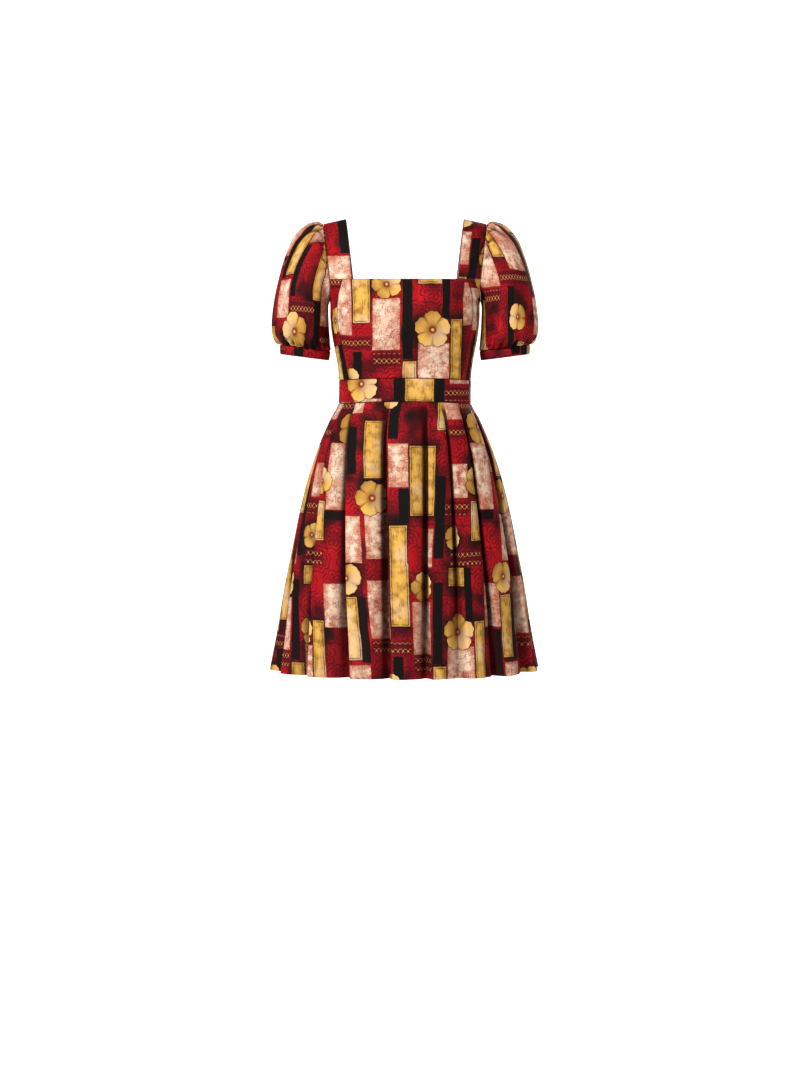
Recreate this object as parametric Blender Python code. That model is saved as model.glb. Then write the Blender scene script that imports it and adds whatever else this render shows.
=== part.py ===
# Skater dress: printed cotton, worn form with nobody in it, square neck, puff sleeves, pleated skirt.
# Metres, +Z up. The front faces -Y, and +X is the wearer's left.
# The origin lies midway between the tops of the two shoulder straps, where the wearer carries it.
# Every cloth piece is a closed wall: a grid of outer points and the same grid moved in by the cloth.

import math

import bmesh
import bpy
import numpy as np

# Cloth and seams
CLOTH = 0.0015
BAND_CLOTH = 0.0020
SEAM_GAP = 0.0003

# Heights on the body
NECK_Z = -0.111
UNDERARM_Z = -0.148
BAND_TOP_Z = -0.2876
BAND_LOW_Z = -0.3290
HEM_Z = -0.8155
SIDE_DIP = 0.004

# The body that the bodice and the waistband are cut for, as rounded sections
BODY_POWER = 2.5
BODY = (
    # height, half width, front depth, back depth
    (-0.1110, 0.1500, 0.0990, 0.1005),
    (-0.1300, 0.1415, 0.1040, 0.1020),
    (-0.1480, 0.1362, 0.1085, 0.1030),
    (-0.1780, 0.1352, 0.1120, 0.1035),
    (-0.2080, 0.1322, 0.1090, 0.1010),
    (-0.2384, 0.1268, 0.1000, 0.0945),
    (-0.2620, 0.1225, 0.0920, 0.0880),
    (-0.2876, 0.1200, 0.0880, 0.0850),
    (-0.3090, 0.1198, 0.0875, 0.0845),
    (-0.3340, 0.1204, 0.0880, 0.0850),
)

# Seam between the centre front and the side front
PRINCESS = (
    # height, distance from the centre
    (-0.1110, 0.1120),
    (-0.1420, 0.1200),
    (-0.1840, 0.1210),
    (-0.2200, 0.1150),
    (-0.2540, 0.1080),
    (-0.2920, 0.1000),
)

# Straps: one piece over each shoulder, from the front neckline's level to the back one's
STRAP_LOW_X = (0.0946, 0.1350)
STRAP_TOP_X = (0.1065, 0.1474)
STRAP_FALL = 0.009
STRAP_START = math.radians(20)
STRAP_STEPS = 14
STRAP_COLUMNS = 4

# Grids of the bodice and the band
CENTRE_COLUMNS = 13
SHOULDER_COLUMNS = 2
ARM_COLUMNS = 10
BACK_COLUMNS = 6
BODICE_ROWS = (0.0, 0.10, 0.21, 0.33, 0.46, 0.59, 0.73, 0.87, 1.0)
BACK_ROWS = (0.0, 0.04, 0.068, 0.096, 0.15, 0.24, 0.35, 0.47, 0.60, 0.73, 0.87, 1.0)
BAND_ROWS = (0.0, 0.5, 1.0)
BAND_COLUMNS = 10

# Skirt sections: the outline that the folds' crests reach, and how deep the folds are
SKIRT_POWER_TOP = 2.5
SKIRT_POWER_HEM = 2.1
SKIRT_POWER_FADE = 0.15
SKIRT = (
    # height, half width, front depth, back depth, fold depth, share of a pleat that rises
    (-0.3293, 0.1202, 0.0880, 0.0850, 0.0015, 0.20),
    (-0.3385, 0.1240, 0.0925, 0.0900, 0.0026, 0.20),
    (-0.3530, 0.1320, 0.1010, 0.0990, 0.0045, 0.22),
    (-0.3820, 0.1450, 0.1130, 0.1120, 0.0080, 0.26),
    (-0.4250, 0.1620, 0.1275, 0.1275, 0.0108, 0.30),
    (-0.4700, 0.1765, 0.1400, 0.1410, 0.0126, 0.33),
    (-0.5280, 0.1910, 0.1530, 0.1550, 0.0142, 0.36),
    (-0.6000, 0.2060, 0.1660, 0.1690, 0.0156, 0.38),
    (-0.6740, 0.2210, 0.1790, 0.1830, 0.0166, 0.40),
    (-0.7450, 0.2330, 0.1895, 0.1940, 0.0175, 0.42),
    (-0.8155, 0.2470, 0.2000, 0.2050, 0.0180, 0.42),
)

# Pleats, from the wearer's right side seam round the front to the left one and on round the back
PLEATS = (
    # share of the way round at the waist, the same at the hem, depth of the hollow that starts it
    (-0.2500, -0.2500, 0.80),
    (-0.2220, -0.1950, 0.95),
    (-0.1880, -0.1390, 1.15),
    (-0.1400, -0.0775, 1.05),
    (-0.0445, -0.0220, 1.00),
    (0.0523, 0.0270, 0.90),
    (0.1000, 0.0720, 0.65),
    (0.1520, 0.1256, 1.15),
    (0.2100, 0.1900, 0.95),
    (0.2500, 0.2500, 0.80),
    (0.3120, 0.3140, 1.00),
    (0.3760, 0.3720, 1.10),
    (0.4360, 0.4380, 0.90),
    (0.5000, 0.5000, 0.80),
    (0.5600, 0.5620, 1.00),
    (0.6220, 0.6270, 1.10),
    (0.6880, 0.6900, 0.90),
)
FRONT_PLEATS = 9
BACK_LEFT_PLEATS = 4
HEM_TO_WAIST = 2.15
RISE_LEAST = 0.006
RISE_COLUMNS = 2
FALL_COLUMNS = 4

# Sleeve rings after the armhole: each is an ellipse from the underarm side to the outer side
CUFF_LEAN = 0.2
CAP_WAVES = 12
CUFF_WAVES = 13
SLEEVE = (
    # inner x, inner z, outer x, outer z, half depth, cap gathers, cuff gathers
    (0.1386, -0.1560, 0.1600, -0.0040, 0.0610, 0.0020, 0.0),
    (0.1390, -0.1650, 0.1830, -0.0130, 0.0650, 0.0024, 0.0),
    (0.1388, -0.1740, 0.2030, -0.0350, 0.0680, 0.0018, 0.0),
    (0.1384, -0.1830, 0.2165, -0.0660, 0.0700, 0.0010, 0.0),
    (0.1380, -0.1920, 0.2275, -0.1030, 0.0710, 0.0004, 0.0002),
    (0.1375, -0.2010, 0.2365, -0.1430, 0.0705, 0.0, 0.0005),
    (0.1368, -0.2100, 0.2415, -0.1820, 0.0690, 0.0, 0.0010),
    (0.1360, -0.2200, 0.2405, -0.2060, 0.0650, 0.0, 0.0018),
    (0.1350, -0.2300, 0.2355, -0.2200, 0.0570, 0.0, 0.0022),
    (0.1346, -0.2360, 0.2295, -0.2250, 0.0480, 0.0, 0.0014),
)

# Cuff rings, from the sleeve seam down
CUFF = (
    # inner x, inner z, outer x, outer z, half depth
    (0.1352, -0.2385, 0.2266, -0.2270, 0.0428),
    (0.1362, -0.2470, 0.2270, -0.2355, 0.0428),
    (0.1378, -0.2555, 0.2262, -0.2442, 0.0418),
)

# Zip at the centre back: the slider lies inside the seam, its lug comes out through a short slit
ZIP_Z = -0.1230
SLIT_HALF = 0.0011
SLIT_REACH = 0.006
SLIDER_SIZE = (0.0050, 0.0030, 0.0090)
SLIDER_CLEAR = 0.0006
SLIDER_EDGE = 0.0006
LUG_HALF = 0.0005
LUG_OUTER = 0.0022
LUG_HOLE = 0.0011
LUG_SIDES = 24
NECK_START = -0.6
PIVOT_OUT = 0.0018
PULL_HALF = 0.0005
PULL_LENGTH = 0.021
PULL_TOP_HALF = 0.0024
PULL_LOW_HALF = 0.0038
PULL_BAR = 0.0005
PULL_WINDOW_HALF = 0.0013
PULL_WINDOW_LOW = 0.0042
PULL_SIDES = 32

# Finish: linear colour, roughness, metallic
COTTON = (0.36, 0.022, 0.018)
COTTON_DARK = (0.29, 0.017, 0.014)
COTTON_ROUGHNESS = 0.72
ZIP_METAL = (0.30, 0.03, 0.025)
ZIP_ROUGHNESS = 0.35
SHARP_ANGLE = math.radians(50)


def clear_scene():
    for item in list(bpy.data.objects):
        bpy.data.objects.remove(item)


def plain_material(name, colour, roughness, metallic):
    material = bpy.data.materials.new(name)
    material.use_nodes = True
    shader = material.node_tree.nodes["Principled BSDF"]
    shader.inputs["Base Color"].default_value = (*colour, 1.0)
    shader.inputs["Roughness"].default_value = roughness
    shader.inputs["Metallic"].default_value = metallic
    material.diffuse_color = (*colour, 1.0)
    return material


def cotton(name, dark=False):
    return plain_material(name, COTTON_DARK if dark else COTTON, COTTON_ROUGHNESS, 0.0)


def smooth(table, column, at):
    """One column of a table at any value of its first column, on a smooth curve through the rows."""
    rows = np.array(sorted(table))
    known = rows[:, 0]
    value = rows[:, column]
    slope = np.gradient(value, known)
    place = np.clip(at, known[0], known[-1])
    low = np.clip(np.searchsorted(known, place) - 1, 0, len(known) - 2)
    step = known[low + 1] - known[low]
    t = (place - known[low]) / step
    from_low = (1 + 2 * t) * (1 - t) ** 2 * value[low] + t * (1 - t) ** 2 * step * slope[low]
    from_high = t * t * (3 - 2 * t) * value[low + 1] + t * t * (t - 1) * step * slope[low + 1]
    return from_low + from_high


def add_mesh(name, corners, faces, material):
    """A closed mesh object whose faces all point out."""
    mesh = bpy.data.meshes.new(name)
    mesh.from_pydata([tuple(map(float, corner)) for corner in corners], [], faces)
    shell = bmesh.new()
    shell.from_mesh(mesh)
    bmesh.ops.recalc_face_normals(shell, faces=shell.faces)
    shell.to_mesh(mesh)
    shell.free()
    mesh.shade_smooth()
    mesh.set_sharp_from_angle(angle=SHARP_ANGLE)
    mesh.materials.append(material)
    item = bpy.data.objects.new(name, mesh)
    bpy.context.scene.collection.objects.link(item)
    return item


def cloth_wall(name, outer, normals, thickness, closed, material):
    """A cloth piece from rows by columns of outer points; closed joins the last column to the first."""
    rows, columns = outer.shape[:2]
    inner = outer - thickness * normals
    corners = np.concatenate([outer.reshape(-1, 3), inner.reshape(-1, 3)])
    under = rows * columns
    spans = columns if closed else columns - 1
    faces = []
    for row in range(rows - 1):
        for column in range(spans):
            a = row * columns + column
            b = row * columns + (column + 1) % columns
            faces.append((a, b, b + columns, a + columns))
            faces.append((under + a, under + a + columns, under + b + columns, under + b))
    last = (rows - 1) * columns
    for column in range(spans):
        after = (column + 1) % columns
        faces.append((column, under + column, under + after, after))
        faces.append((last + column, last + after, under + last + after, under + last + column))
    if not closed:
        for row in range(rows - 1):
            for a in (row * columns, row * columns + columns - 1):
                edge = (a, a + columns, under + a + columns, under + a)
                faces.append(edge if a % columns == 0 else edge[::-1])
    return add_mesh(name, corners, faces, material)


def unit(vectors):
    return vectors / np.linalg.norm(vectors, axis=-1, keepdims=True)


def trimmed(points, first=SEAM_GAP / 2, last=SEAM_GAP / 2):
    """The grid with its first and last columns drawn in from the seam lines."""
    points = points.copy()
    first = np.reshape(first, (-1, 1))
    last = np.reshape(last, (-1, 1))
    points[:, 0] += first * unit(points[:, 1] - points[:, 0])
    points[:, -1] += last * unit(points[:, -2] - points[:, -1])
    return points


def mirrored(points):
    return points * np.array((-1.0, 1.0, 1.0))


# The body's surface

def body_depth(y, height):
    return np.where(np.asarray(y) <= 0, smooth(BODY, 2, height), smooth(BODY, 3, height))


def body_turn(x, height):
    """Turn round the section, 0 at the centre front or back and a quarter at the side."""
    return np.arcsin((x / smooth(BODY, 1, height)) ** (BODY_POWER / 2))


def body_point(turn, height, back=False):
    """Outer point on the left half of the body."""
    half = smooth(BODY, 1, height)
    depth = smooth(BODY, 3 if back else 2, height)
    x = half * np.sin(turn) ** (2 / BODY_POWER)
    y = depth * np.abs(np.cos(turn)) ** (2 / BODY_POWER)
    return np.stack([x, y if back else -y, height + 0 * x], axis=-1)


def body_level(x, y, height):
    """Zero on the body's surface, positive outside it."""
    across = (np.abs(x) / smooth(BODY, 1, height)) ** BODY_POWER
    return across + (np.abs(y) / body_depth(y, height)) ** BODY_POWER - 1


def body_normals(points):
    step = 1e-4
    x, y, z = points[..., 0], points[..., 1], points[..., 2]
    slope_x = body_level(x + step, y, z) - body_level(x - step, y, z)
    slope_y = body_level(x, y + step, z) - body_level(x, y - step, z)
    slope_z = body_level(x, y, z + step) - body_level(x, y, z - step)
    return unit(np.stack([slope_x, slope_y, slope_z], axis=-1))


def side_dip(x, height):
    """How much lower a waist seam lies at a point than at the centre."""
    return SIDE_DIP * (x / smooth(BODY, 1, height)) ** 2


# Bodice

def centre_grid():
    """Centre front: from one princess seam to the other."""
    shares = np.linspace(-1, 1, CENTRE_COLUMNS)
    rows = []
    for share in BODICE_ROWS:
        bottom = BAND_TOP_Z + SEAM_GAP - side_dip(shares * smooth(PRINCESS, 1, BAND_TOP_Z), BAND_TOP_Z)
        z = NECK_Z + share * (bottom - NECK_Z)
        x = shares * smooth(PRINCESS, 1, z)
        across = (np.abs(x) / smooth(BODY, 1, z)) ** BODY_POWER
        y = -smooth(BODY, 2, z) * (1 - across) ** (1 / BODY_POWER)
        rows.append(np.stack([x, y, z], axis=-1))
    return np.array(rows)


def armhole_shares(first):
    """Column shares from a seam to the side, and each one's drop below the neckline's level.

    first is the share at which the armhole starts; it falls to the underarm on a quarter ellipse."""
    level = np.linspace(0, first, SHOULDER_COLUMNS + 1)[:-1]
    angles = np.linspace(0, math.pi / 2, ARM_COLUMNS + 1)
    shares = np.concatenate([level, first + (1 - first) * (1 - np.cos(angles))])
    drops = np.concatenate([0 * level, (NECK_Z - UNDERARM_Z) * np.sin(angles)])
    return shares, drops


def side_front_grid():
    """Left side front: from the princess seam to the side seam."""
    start = body_turn(smooth(PRINCESS, 1, NECK_Z), NECK_Z)
    strap_end = body_turn(STRAP_LOW_X[1], NECK_Z)
    shares, drops = armhole_shares((strap_end - start) / (math.pi / 2 - start))
    low_turn = body_turn(smooth(PRINCESS, 1, BAND_TOP_Z), BAND_TOP_Z)
    low_turn = low_turn + shares * (math.pi / 2 - low_turn)
    low_x = body_point(low_turn, BAND_TOP_Z)[:, 0]
    bottom = BAND_TOP_Z + SEAM_GAP - side_dip(low_x, BAND_TOP_Z)
    rows = []
    for share in BODICE_ROWS:
        z = NECK_Z - drops + share * (bottom - NECK_Z + drops)
        seam = body_turn(smooth(PRINCESS, 1, z), z)
        rows.append(body_point(seam + shares * (math.pi / 2 - seam), z))
    return np.array(rows)


def back_grid():
    """Left back: from the centre back to the side seam."""
    strap_end = body_turn(STRAP_LOW_X[1], NECK_Z)
    flat = np.linspace(0, strap_end, BACK_COLUMNS + 1)[:-1]
    angles = np.linspace(0, math.pi / 2, ARM_COLUMNS + 1)
    turns = np.concatenate([flat, strap_end + (math.pi / 2 - strap_end) * (1 - np.cos(angles))])
    drops = np.concatenate([0 * flat, (NECK_Z - UNDERARM_Z) * np.sin(angles)])
    low_x = body_point(turns, BAND_TOP_Z, back=True)[:, 0]
    bottom = BAND_TOP_Z + SEAM_GAP - side_dip(low_x, BAND_TOP_Z)
    rows = []
    for share in BACK_ROWS:
        z = NECK_Z - drops + share * (bottom - NECK_Z + drops)
        rows.append(body_point(turns, z, back=True))
    return np.array(rows)


def slit(height):
    """Half the width by which the centre-back edges part round the zip's lug."""
    reach = np.clip(np.abs(height - ZIP_Z) / SLIT_REACH, 0, 1)
    return SLIT_HALF * np.cos(reach * math.pi / 2) ** 2


def strap_point(across, turn, back=False):
    """Outer point of the left strap; across runs from the neck edge to the armhole edge."""
    low_x = STRAP_LOW_X[0] + across * (STRAP_LOW_X[1] - STRAP_LOW_X[0])
    top_x = STRAP_TOP_X[0] + across * (STRAP_TOP_X[1] - STRAP_TOP_X[0])
    top_z = -STRAP_FALL * across
    low_z = NECK_Z + SEAM_GAP
    low_y = body_point(body_turn(low_x, NECK_Z), NECK_Z, back)[..., 1]
    risen = 1 - (1 - np.sin(turn)) / (1 - math.sin(STRAP_START))
    x = low_x + risen * (top_x - low_x)
    y = low_y * np.cos(turn) / math.cos(STRAP_START)
    return np.stack([x, y, low_z + risen * (top_z - low_z)], axis=-1)


def strap_grid():
    across = np.linspace(0, 1, STRAP_COLUMNS)
    turns = np.linspace(STRAP_START, math.pi / 2, STRAP_STEPS + 1)
    front = [strap_point(across, turn + 0 * across) for turn in turns]
    back = [strap_point(across, turn + 0 * across, back=True) for turn in turns[:-1]]
    return np.array(front + back[::-1])


def grid_normals(points, closed, away_from):
    """Normals of a grid, pointing away from the line or point given."""
    down = np.gradient(points, axis=0)
    if closed:
        along = np.roll(points, -1, axis=1) - np.roll(points, 1, axis=1)
    else:
        along = np.gradient(points, axis=1)
    normals = unit(np.cross(along, down))
    outward = np.sum(normals * (points - away_from))
    return normals if outward > 0 else -normals


def make_bodice():
    centre = centre_grid()
    cloth_wall("front_centre", trimmed(centre), body_normals(centre), CLOTH, False, cotton("front_centre_cotton"))
    side = side_front_grid()
    side_normals = body_normals(side)
    back = back_grid()
    back_normals = body_normals(back)
    parted = trimmed(back, first=SEAM_GAP / 2 + slit(back[:, 0, 2]))
    strap = strap_grid()
    strap_normals = grid_normals(strap, False, np.array((STRAP_TOP_X[0], 0, NECK_Z)))
    for hand, turn in (("left", np.copy), ("right", mirrored)):
        name = "side_front_" + hand
        cloth_wall(name, turn(trimmed(side)), turn(side_normals), CLOTH, False, cotton(name + "_cotton", True))
        name = "back_" + hand
        cloth_wall(name, turn(parted), turn(back_normals), CLOTH, False, cotton(name + "_cotton"))
        name = "strap_" + hand
        cloth_wall(name, turn(strap), turn(strap_normals), CLOTH, False, cotton(name + "_cotton", True))


# Waistband

def band_grid(turns, back):
    """Left half of the band, for turns from the centre to the side."""
    rows = []
    for share in BAND_ROWS:
        z = BAND_TOP_Z + share * (BAND_LOW_Z - BAND_TOP_Z)
        points = body_point(turns, z + 0 * turns, back)
        points[:, 2] -= side_dip(points[:, 0], z)
        rows.append(points)
    return np.array(rows)


def make_waistband():
    turns = np.linspace(0, math.pi / 2, BAND_COLUMNS + 1)
    half = band_grid(turns, back=False)
    whole = np.concatenate([mirrored(half)[:, :0:-1], half], axis=1)
    material = cotton("waistband_front_cotton")
    cloth_wall("waistband_front", trimmed(whole), body_normals(whole), BAND_CLOTH, False, material)
    half = band_grid(turns, back=True)
    normals = body_normals(half)
    for hand, turn in (("left", np.copy), ("right", mirrored)):
        name = "waistband_back_" + hand
        cloth_wall(name, turn(trimmed(half)), turn(normals), BAND_CLOTH, False, cotton(name + "_cotton", True))


# Skirt

def skirt_ring(height):
    """Outline of one skirt section: shares of its length from the centre front, and its points."""
    fade = min(1.0, (SKIRT[0][0] - height) / SKIRT_POWER_FADE)
    power = SKIRT_POWER_TOP + fade * (SKIRT_POWER_HEM - SKIRT_POWER_TOP)
    turns = np.linspace(-math.pi, math.pi, 1441)
    x = np.sign(np.sin(turns)) * np.abs(np.sin(turns)) ** (2 / power) * smooth(SKIRT, 1, height)
    depth = np.where(np.cos(turns) > 0, smooth(SKIRT, 2, height), smooth(SKIRT, 3, height))
    y = -np.sign(np.cos(turns)) * np.abs(np.cos(turns)) ** (2 / power) * depth
    lengths = np.concatenate([[0], np.cumsum(np.hypot(np.diff(x), np.diff(y)))])
    return lengths / lengths[-1] - 0.5, x, y, lengths[-1]


def skirt_row(height):
    """One row of skirt points, a full turn from the right side seam, crests out and hollows in."""
    ring_share, ring_x, ring_y, length = skirt_ring(height)
    way = (height - SKIRT[0][0]) / (HEM_Z - SKIRT[0][0])
    spread = way * HEM_TO_WAIST / (1 - way + way * HEM_TO_WAIST)
    fold = smooth(SKIRT, 4, height)
    rise = smooth(SKIRT, 5, height)
    starts = [waist + (hem - waist) * spread for waist, hem, _ in PLEATS]
    starts.append(starts[0] + 1)
    depths = [fold * deep for _, _, deep in PLEATS]
    depths.append(depths[0])
    shares = []
    hollows = []
    for pleat in range(len(PLEATS)):
        start = starts[pleat]
        width = starts[pleat + 1] - start
        crest = max(rise, RISE_LEAST / (width * length))
        for step in range(RISE_COLUMNS):
            part = step / RISE_COLUMNS
            shares.append(start + width * crest * part)
            hollows.append(depths[pleat] * 0.5 * (1 + math.cos(math.pi * part)))
        for step in range(FALL_COLUMNS):
            part = step / FALL_COLUMNS
            shares.append(start + width * (crest + (1 - crest) * part))
            hollows.append(depths[pleat + 1] * 0.5 * (1 - math.cos(math.pi * part)))
    shares = (np.array(shares) + 0.5) % 1.0 - 0.5
    hollows = np.array(hollows)
    step = 1e-3
    before = (shares - step + 0.5) % 1.0 - 0.5
    after = (shares + step + 0.5) % 1.0 - 0.5
    run_x = np.interp(after, ring_share, ring_x) - np.interp(before, ring_share, ring_x)
    run_y = np.interp(after, ring_share, ring_y) - np.interp(before, ring_share, ring_y)
    size = np.hypot(run_x, run_y)
    x = np.interp(shares, ring_share, ring_x) - hollows * run_y / size
    y = np.interp(shares, ring_share, ring_y) + hollows * run_x / size
    fade = max(0.0, 1 - way * 8)
    z = height - fade * SIDE_DIP * (x / smooth(SKIRT, 1, height)) ** 2
    return np.stack([x, y, z], axis=-1)


def make_skirt():
    whole = np.array([skirt_row(row[0]) for row in SKIRT])
    normals = grid_normals(whole, True, whole.mean(axis=1, keepdims=True))
    per_pleat = RISE_COLUMNS + FALL_COLUMNS
    around = len(PLEATS) * per_pleat
    front_end = FRONT_PLEATS * per_pleat
    centre_back = front_end + BACK_LEFT_PLEATS * per_pleat
    pieces = (
        ("skirt_front", 0, front_end, False),
        ("skirt_back_left", front_end, centre_back, True),
        ("skirt_back_right", centre_back, around, False),
    )
    for name, first, last, dark in pieces:
        columns = np.arange(first, last + 1) % around
        material = cotton(name + "_cotton", dark)
        cloth_wall(name, trimmed(whole[:, columns]), normals[:, columns], CLOTH, False, material)


# Sleeves and cuffs

def armhole_ring():
    """Corner points of the left armhole's edge, from the shoulder down the front and up the back."""
    strap = strap_grid()[:, -1]
    front = side_front_grid()[0, SHOULDER_COLUMNS + 1:]
    back = back_grid()[0, BACK_COLUMNS + 1:-1]
    return np.concatenate([strap[STRAP_STEPS::-1], front, back[::-1], strap[:STRAP_STEPS:-1]])


def ring_turns():
    """Turn of each sleeve column, 0 at the shoulder and half a turn at the underarm."""
    ring = armhole_ring()
    steps = np.linalg.norm(np.roll(ring, -1, axis=0) - ring, axis=1)
    way = np.concatenate([[0], np.cumsum(steps)])
    under = STRAP_STEPS + ARM_COLUMNS
    down = way[:under] / way[under]
    up = (way[under:-1] - way[under]) / (way[-1] - way[under])
    return math.pi * np.concatenate([down, 1 + up])


def ellipse(turns, inner_x, inner_z, outer_x, outer_z, half_depth, ripple=0.0):
    """A ring from its underarm point and its outer point; ripple moves each point out."""
    centre = np.array(((inner_x + outer_x) / 2, 0, (inner_z + outer_z) / 2))
    across = np.array(((outer_x - inner_x) / 2, 0, (outer_z - inner_z) / 2))
    arm = np.cos(turns)[:, None] * across - np.sin(turns)[:, None] * np.array((0, half_depth, 0))
    return centre + arm + np.reshape(ripple, (-1, 1)) * unit(arm)


def sleeve_grid(turns, start):
    """Left sleeve from the armhole seam to the cuff seam, with uneven gathers at both."""
    at_cap = ((1 + np.cos(turns)) / 2) ** 1.5
    cap = np.cos(CAP_WAVES * turns + 0.5 * np.sin(2 * turns + start) + start) * at_cap
    cuff = np.cos(CUFF_WAVES * turns + 0.6 * np.sin(2 * turns - start) - start)
    rings = [armhole_ring() + np.array((SEAM_GAP, 0, 0))]
    for *sizes, cap_size, cuff_size in SLEEVE:
        rings.append(ellipse(turns, *sizes, cap_size * cap + cuff_size * cuff))
    rings.append(ellipse(turns, *CUFF[0]) + np.array((0, 0, SEAM_GAP)))
    return np.array(rings)


def make_sleeves():
    turns = ring_turns()
    cuff = np.array([ellipse(turns, *row) for row in CUFF])
    cuff_normals = grid_normals(cuff, True, cuff.mean(axis=1, keepdims=True))
    for hand, turn, start in (("left", np.copy, 0.4), ("right", mirrored, 1.9)):
        sleeve = sleeve_grid(turns, start)
        sleeve_normals = grid_normals(sleeve, True, sleeve.mean(axis=1, keepdims=True))
        sleeve_normals[-1, :, 2] = np.minimum(sleeve_normals[-1, :, 2], -CUFF_LEAN)
        sleeve_normals[-1] = unit(sleeve_normals[-1])
        name = "sleeve_" + hand
        cloth_wall(name, turn(sleeve), turn(sleeve_normals), CLOTH, True, cotton(name + "_cotton"))
        name = "cuff_" + hand
        cloth_wall(name, turn(cuff), turn(cuff_normals), BAND_CLOTH, True, cotton(name + "_cotton", True))


# Zip

def plate_with_hole(name, outline, hole, half, facing, material):
    """A flat plate that faces along X or Y, from an outline and a hole with as many (other axis, z) points."""
    sides = len(outline)
    corners = []
    for level in (-half, half):
        for run, z in outline + hole:
            corners.append((level, run, z) if facing == "X" else (run, level, z))
    faces = []
    for a in range(sides):
        b = (a + 1) % sides
        faces.append((a, b, sides + b, sides + a))
        faces.append((2 * sides + a, 3 * sides + a, 3 * sides + b, 2 * sides + b))
        faces.append((a, 2 * sides + a, 2 * sides + b, b))
        faces.append((sides + a, sides + b, 3 * sides + b, 3 * sides + a))
    return add_mesh(name, corners, faces, material)


def make_slider(surface_y, pivot_y, material):
    """Slider body inside the seam, joined to the lug that the pull hangs from."""
    width, depth, height = SLIDER_SIZE
    centre_y = surface_y - CLOTH - SLIDER_CLEAR - depth / 2
    bpy.ops.mesh.primitive_cube_add(size=1, location=(0, centre_y, ZIP_Z))
    slider = bpy.context.object
    slider.name = "zip_slider"
    slider.scale = (width, depth, height)
    bpy.ops.object.transform_apply(scale=True)
    slider.data.materials.append(material)
    edges = slider.modifiers.new("rounded edges", "BEVEL")
    edges.width = SLIDER_EDGE
    edges.segments = 2
    turns = np.arange(LUG_SIDES) * 2 * math.pi / LUG_SIDES
    outline = []
    for turn in turns:
        in_neck = math.cos(turn) < NECK_START
        y = centre_y if in_neck else pivot_y + LUG_OUTER * math.cos(turn)
        outline.append((y, ZIP_Z + LUG_OUTER * math.sin(turn)))
    hole = [(pivot_y + LUG_HOLE * math.cos(turn), ZIP_Z + LUG_HOLE * math.sin(turn)) for turn in turns]
    lug = plate_with_hole("lug_shape", outline, hole, LUG_HALF, "X", material)
    lug.hide_render = True
    lug.display_type = "WIRE"
    join = slider.modifiers.new("lug", "BOOLEAN")
    join.operation = "UNION"
    join.object = lug


def make_pull(pivot_y, lean, material):
    """Teardrop pull, with a window under its top bar; its origin is on the hinge axis."""
    turns = np.arange(PULL_SIDES) * 2 * math.pi / PULL_SIDES
    middle = (PULL_BAR - PULL_LENGTH) / 2
    reach = (PULL_LENGTH + PULL_BAR) / 2
    outer = []
    window = []
    window_middle = -(PULL_BAR + PULL_WINDOW_LOW) / 2
    window_reach = (PULL_WINDOW_LOW - PULL_BAR) / 2
    for turn in turns:
        down = (1 - math.sin(turn)) / 2
        half = PULL_TOP_HALF + (PULL_LOW_HALF - PULL_TOP_HALF) * down
        square = math.copysign(abs(math.cos(turn)) ** 0.6, math.cos(turn))
        rise = math.copysign(abs(math.sin(turn)) ** 0.8, math.sin(turn))
        outer.append((half * square, middle + reach * rise))
        rise = math.copysign(abs(math.sin(turn)) ** 0.5, math.sin(turn))
        window.append((PULL_WINDOW_HALF * square, window_middle + window_reach * rise))
    pull = plate_with_hole("zip_pull", outer, window, PULL_HALF, "Y", material)
    pull.location = (0, pivot_y, ZIP_Z)
    pull.rotation_euler = (lean, 0, 0)


def make_zip():
    surface_y = float(smooth(BODY, 3, ZIP_Z))
    below = float(smooth(BODY, 3, ZIP_Z - PULL_LENGTH))
    pivot_y = surface_y + PIVOT_OUT
    material = plain_material("zip_metal", ZIP_METAL, ZIP_ROUGHNESS, 0.6)
    make_slider(surface_y, pivot_y, material)
    make_pull(pivot_y, math.atan2(below - surface_y, PULL_LENGTH), material)


clear_scene()
make_bodice()
make_waistband()
make_skirt()
make_sleeves()
make_zip()
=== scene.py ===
# %% [markdown]
# # A skater dress in printed cotton
# The dress stands in the worn form with nobody in it: square neck, wide straps, short puff sleeves with
# plain cuffs, a flat waistband and a pleated skirt. Every panel that a maker cuts becomes one thin sheet
# here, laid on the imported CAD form, with its own cut place for the print to follow.

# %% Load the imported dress
import math

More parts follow.
